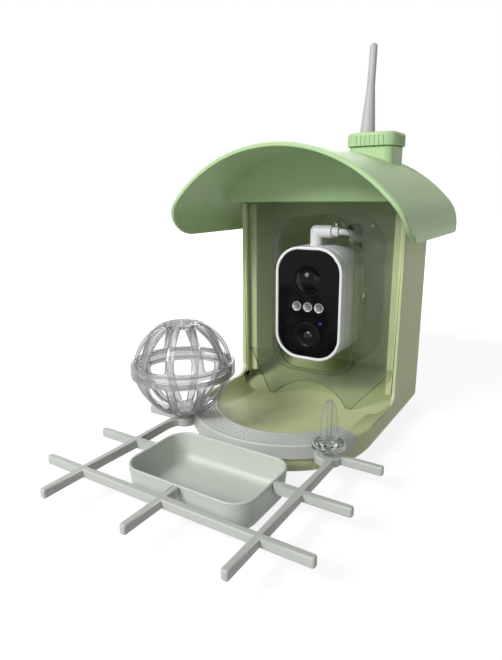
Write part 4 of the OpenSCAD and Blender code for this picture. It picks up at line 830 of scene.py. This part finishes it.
def buildFins():
    bm = bmesh.new()
    half, arm, low, foot = spike["fin"] / 2, spike["r"], spike["finLow"], spike["baseTop"]
    plus = [Matrix.Rotation(math.radians(90 * k), 3, "Z") @ Vector((x, y, low)) * mm
            for k in range(4) for x, y in ((arm, -half), (arm, half), (half, half))]
    top = bm.faces.new([bm.verts.new(p) for p in plus])
    levels = [math.sin(math.pi / 2 * i / spike["levels"]) for i in range(spike["levels"] + 1)]
    for i, rise in enumerate(levels):
        made = bmesh.ops.extrude_face_region(bm, geom=[top])["geom"]
        if i:
            dropFace(bm, top)
        top = faceOf(made)
        share = (1 - rise ** spike["full"]) ** (1 / spike["full"])
        reach = max(half * spike["thinnest"], arm * share) * mm
        for v in top.verts:
            v.co.z = (foot + spike["tip"] * rise) * mm
            for axis in (0, 1):
                if abs(v.co[axis]) > half * spike["armFrom"] * mm:
                    v.co[axis] = math.copysign(reach, v.co[axis])
    bmesh.ops.recalc_face_normals(bm, faces=bm.faces)
    roundEdges(bm, sharpEdges(bm, angle=60), spike["finEdge"], segments=2)
    # painted shade on the fins' narrow edge strips
    markPaintedShade(bm, lambda f: spike["finPaintedShade"] * (stripWidth(f) < spike["finStrip"]))
    turnAboutZ(bm, spike["turn"])
    bmesh.ops.translate(bm, verts=bm.verts, vec=Vector(spike["place"]) * mm)
    finishPiece(bm, "spikeFins", "spike", paint["finPc"], smooth=30, weighted=False)


def buildSpike():
    bm = bmesh.new()
    seat, foot, base, top, arm = spike["seat"], spike["foot"], spike["baseR"], spike["finLow"], spike["r"]
    footR, pegR, peg = spike["footR"], spike["pegR"], spike["pegLow"]
    profile = [(0, top - 0.05), (arm + 0.2, top - 0.05), (arm + 0.8, top + 0.5), (base - 1.2, foot + 2.6),
               (base - 0.5, foot + 3), (base, foot + 2.4), (base, foot + 0.6), (base - 0.6, foot),
               (footR, foot), (footR, seat + 0.3), (footR - 0.3, seat), (pegR, seat), (pegR, peg + 0.4),
               (pegR - 0.4, peg), (0, peg)]
    turnedPiece(bm, [(x * mm, 0, z * mm) for x, z in profile], steps=56)
    bmesh.ops.translate(bm, verts=bm.verts, vec=Vector(spike["place"]) * mm)
    finishPiece(bm, "fruitSpike", "spike", paint["spikePc"], ["fruit_spike"])


buildFins()
buildSpike()
print("spike built")


# Camera: white two-part case with large round corners, and a glossy black face
cameraCase = {"halfW": 29, "halfH": 46, "z": 97, "front": -15, "back": 35, "frontEdge": 0.8, "backEdge": 2,
              "faceFront": -14, "faceEdge": 0.35, "outer": 0.8, "slack": 0.01}


def buildCamera():
    def outerAt(bm, y):
        def outside(e):
            p = middle(e) / mm
            return max(abs(p.x) / cameraCase["halfW"], abs(p.z - cameraCase["z"]) / cameraCase["halfH"])

        return [e for e in sharpEdges(bm, angle=40) if outside(e) > cameraCase["outer"]
                and all(abs(v.co.y - y * mm) < cameraCase["slack"] * mm for v in e.verts)]

    front = nodeCopy("camera_front")
    roundEdges(front, outerAt(front, cameraCase["front"]), cameraCase["frontEdge"], segments=3)
    finishPiece(front, "cameraFront", "house", paint["whiteAbs"], ["camera_front"])
    back = nodeCopy("camera_back")
    roundEdges(back, outerAt(back, cameraCase["back"]), cameraCase["backEdge"], segments=4)
    finishPiece(back, "cameraBack", "house", paint["whiteAbs"], ["camera_back"])
    face = nodeCopy("camera_face")
    ahead = cameraCase["faceFront"] * mm
    faceRim = sharpEdges(face, angle=60, test=lambda e: all(v.co.y < ahead for v in e.verts))
    roundEdges(face, faceRim, cameraCase["faceEdge"], segments=2)
    finishPiece(face, "cameraFace", "house", paint["faceBlack"], ["camera_face"])


buildCamera()
print("camera built")


# Camera optics, turned about their own axes
optics = {"panel": -14.2, "lensZ": 70.5, "lensRing": 12.4, "barrel": 7.8, "glass": 4.2, "glassTop": 1.9,
          "glassDome": 1.3, "glassBack": 4.4, "lampZ": 95, "lampStep": 9.8, "lampR": 4, "lampBack": 3,
          "beadR": 1.6, "beadTop": 1.75, "beadDome": 1.3, "pirZ": 116.5, "pirR": 11.5, "pirDome": 6,
          "pirBack": 3, "pirSteps": 14}


def turnedAlongY(bm, x, z, profile, steps):
    line = [((x + r) * mm, (optics["panel"] + y) * mm, z * mm) for r, y in profile]
    turnedPiece(bm, line, steps, axis=(0, 1, 0), center=(x * mm, 0, z * mm))


def domeLine(radius, top, tall, step):
    angles = [math.radians(a) for a in range(0, 91, step)]
    return [(radius * math.sin(a), top - tall * math.cos(a)) for a in angles]


def buildLens():
    bm = bmesh.new()
    ring, barrel, glass, back = optics["lensRing"], optics["barrel"], optics["glass"], optics["glassBack"]
    turnedAlongY(bm, 0, optics["lensZ"], [
        (ring, 0), (ring, -0.7), (ring - 0.25, -1.05), (ring - 0.7, -1.2), (ring - 1.7, -1.2),
        (ring - 2.0, -0.8), (ring - 2.7, -0.8), (ring - 3.0, -1.1), (ring - 4.0, -1.1),
        (barrel - 0.6, -0.7), (barrel - 1.2, -0.2), (barrel - 1.4, 0.5), (glass + 1.2, 0.7),
        (glass + 0.9, 1.4), (glass + 0.05, 1.6), (glass + 0.05, 4.5), (barrel, 4.5), (barrel, 0),
        (ring, 0)], steps=72)
    finishPiece(bm, "lensBarrel", "house", paint["lensBlack"], ["lens_barrel"], smooth=35)
    bm = bmesh.new()
    dome = domeLine(glass, optics["glassTop"], optics["glassDome"], step=10)
    turnedAlongY(bm, 0, optics["lensZ"], dome + [(glass, back), (0, back)], steps=48)
    finishPiece(bm, "lensGlass", "house", paint["coatedGlass"], ["lens_glass"], smooth=35)


def buildLamps():
    cups, beads = bmesh.new(), bmesh.new()
    r, back, top = optics["lampR"], optics["lampBack"], optics["beadTop"]
    bead = domeLine(optics["beadR"], top, optics["beadDome"], step=15) + [(0, top)]
    for i in (-1, 0, 1):
        x = i * optics["lampStep"]
        turnedAlongY(cups, x, optics["lampZ"], [
            (r, back), (r, 0), (r - 0.15, -0.2), (r - 0.5, -0.25), (r - 0.8, -0.1), (r - 1.2, 0.6),
            (r - 1.9, 1.5), (r - 2.3, 1.8), (0, 1.8), (0, back), (r, back)], steps=40)
        turnedAlongY(beads, x, optics["lampZ"], bead, steps=28)
    finishPiece(cups, "lampCups", "house", paint["lampSilver"], ["ir_leds"], smooth=35)
    finishPiece(beads, "lampBeads", "house", paint["lampBead"], smooth=35)


def buildMotionLens():
    bm = bmesh.new()
    r, high, back, steps = optics["pirR"], optics["pirDome"], optics["pirBack"], optics["pirSteps"]
    sphereR = (r * r + high * high) / (2 * high)
    sweep = math.asin(r / sphereR)
    dome = [(sphereR * math.sin(sweep * k / steps), sphereR - high - sphereR * math.cos(sweep * k / steps))
            for k in range(steps + 1)]
    turnedAlongY(bm, 0, optics["pirZ"], dome + [
        (r + 0.3, -0.05), (r + 0.5, -0.4), (r + 1.2, -0.45), (r + 1.5, -0.02), (r - 1, 0.02), (r - 1, back),
        (0, back)], steps=72)
    finishPiece(bm, "motionLens", "house", paint["pirDome"], ["pir_lens"], smooth=35)


buildLens()
buildLamps()
buildMotionLens()
print("optics built")


# Solids that keep their shape and take a finish
dressed = {
    "brass": ["pole_insert", "antenna_socket"],
    "blackRubber": ["cap_seal", "case_seal", "lead_grommet"],
    "whiteRubber": ["power_button", "port_cover"],
    "zincSteel": ["case_screws", "pir_sensor", "camera_screw", "bracket_screws", "antenna_mount_screws",
                  "antenna_pin"],
    "statusBlue": ["status_led"],
    "lensBlack": ["face_ports", "speaker"],
    "circuitBoard": ["camera_board"],
    "cellWrap": ["battery_cells"],
    "whiteAbs": ["camera_bracket", "antenna_plug"],
    "antennaAbs": ["antenna_mount", "antenna_swivel", "antenna_rod"],
}


def dressNode(obj, material):
    if not obj.material_slots:
        obj.data.materials.append(material)
    for slot in obj.material_slots:
        slot.material = material


for material, names in dressed.items():
    for name in names:
        dressNode(nodes[name], paint[material])
print("nodes dressed")


# Studio: pale floor and world, a soft key from the front left, and weaker lamps at the front, side and rear
studio = {"ambient": 0.1, "floorHalf": 4, "floorDrop": 0.4, "floorColor": "#B8B8B8", "floorRough": 0.9,
          "floorGlow": 1.38, "floorNear": 0.62, "nearEdge": 0.3, "farEdge": 0.9}
lamps = {"keyLamp": {"place": (-0.42, -1.25, 1.0), "aim": (0, -0.03, 0.1), "size": 0.6, "power": 26},
         "fillLamp": {"place": (-0.2, -1.6, 0.25), "aim": (0, 0, 0.1), "size": 1.0, "power": 1.0},
         "sideLamp": {"place": (1.3, -0.9, 0.7), "aim": (0, 0, 0.1), "size": 1.0, "power": 4.5},
         "rearLamp": {"place": (-0.7, 1.5, 1.0), "aim": (0, 0.06, 0.12), "size": 1.0, "power": 13}}
white = (1, 1, 1, 1)


def placeLamp(name, lamp):
    data = bpy.data.lights.new(name, "AREA")
    data.size = lamp["size"]
    data.energy = lamp["power"]
    obj = bpy.data.objects.new(name, data)
    way = Vector(lamp["aim"]) - Vector(lamp["place"])
    obj.matrix_world = Matrix.Translation(lamp["place"]) @ way.to_track_quat("-Z", "Y").to_matrix().to_4x4()
    bpy.context.collection.objects.link(obj)


def seenDirectly(tree):
    path = addNode(tree, "ShaderNodeLightPath")
    first = addNode(tree, "ShaderNodeMath", {"operation": "MAXIMUM"},
                    {0: path.outputs["Is Camera Ray"], 1: path.outputs["Is Glossy Ray"]})
    return addNode(tree, "ShaderNodeMath", {"operation": "MAXIMUM"},
                   {0: first.outputs["Value"], 1: path.outputs["Is Transmission Ray"]}).outputs["Value"]


def lightWorld():
    world = bpy.data.worlds.new("studioWorld")
    bpy.context.scene.world = world
    world.use_nodes = True
    tree = world.node_tree
    sky = next(n for n in tree.nodes if n.type == "BACKGROUND")
    sky.inputs["Color"].default_value = white
    level = addNode(tree, "ShaderNodeMapRange", {"To Min": studio["ambient"], "To Max": 1.0},
                    {"Value": seenDirectly(tree)})
    tree.links.new(level.outputs["Result"], sky.inputs["Strength"])


# Floor paper that keeps the shadow near the object and fades to white away from it
def layFloor():
    bm = bmesh.new()
    bmesh.ops.create_grid(bm, x_segments=2, y_segments=2, size=studio["floorHalf"])
    bmesh.ops.translate(bm, verts=bm.verts, vec=(0, 0, -studio["floorDrop"] * mm))
    mesh = bpy.data.meshes.new("studioFloor")
    bm.to_mesh(mesh)
    bm.free()
    floor = bpy.data.objects.new("studioFloor", mesh)
    bpy.context.collection.objects.link(floor)
    mat, tree, shader = startMaterial("floorPaper")
    shader.inputs["Base Color"].default_value = linear(studio["floorColor"])
    shader.inputs["Roughness"].default_value = studio["floorRough"]
    glow = addNode(tree, "ShaderNodeEmission", {"Color": white, "Strength": studio["floorGlow"]})
    place = addNode(tree, "ShaderNodeTexCoord")
    away = addNode(tree, "ShaderNodeVectorMath", {"operation": "LENGTH"}, {0: place.outputs["Object"]})
    fade = addNode(tree, "ShaderNodeMapRange", {"From Min": studio["nearEdge"], "From Max": studio["farEdge"],
                                                "To Min": studio["floorNear"], "To Max": 1.0},
                   {"Value": away.outputs["Value"]})
    share = addNode(tree, "ShaderNodeMath", {"operation": "MULTIPLY"},
                    {0: seenDirectly(tree), 1: fade.outputs["Result"]})
    mix = addNode(tree, "ShaderNodeMixShader", None,
                  {0: share.outputs["Value"], 1: shader.outputs["BSDF"], 2: glow.outputs["Emission"]})
    showSurface(tree, mix)
    mesh.materials.append(mat)


lightWorld()
for name, lamp in lamps.items():
    placeLamp(name, lamp)
layFloor()
bpy.context.scene.view_settings.view_transform = "Standard"
print("studio built")

bpy.context.view_layer.update()
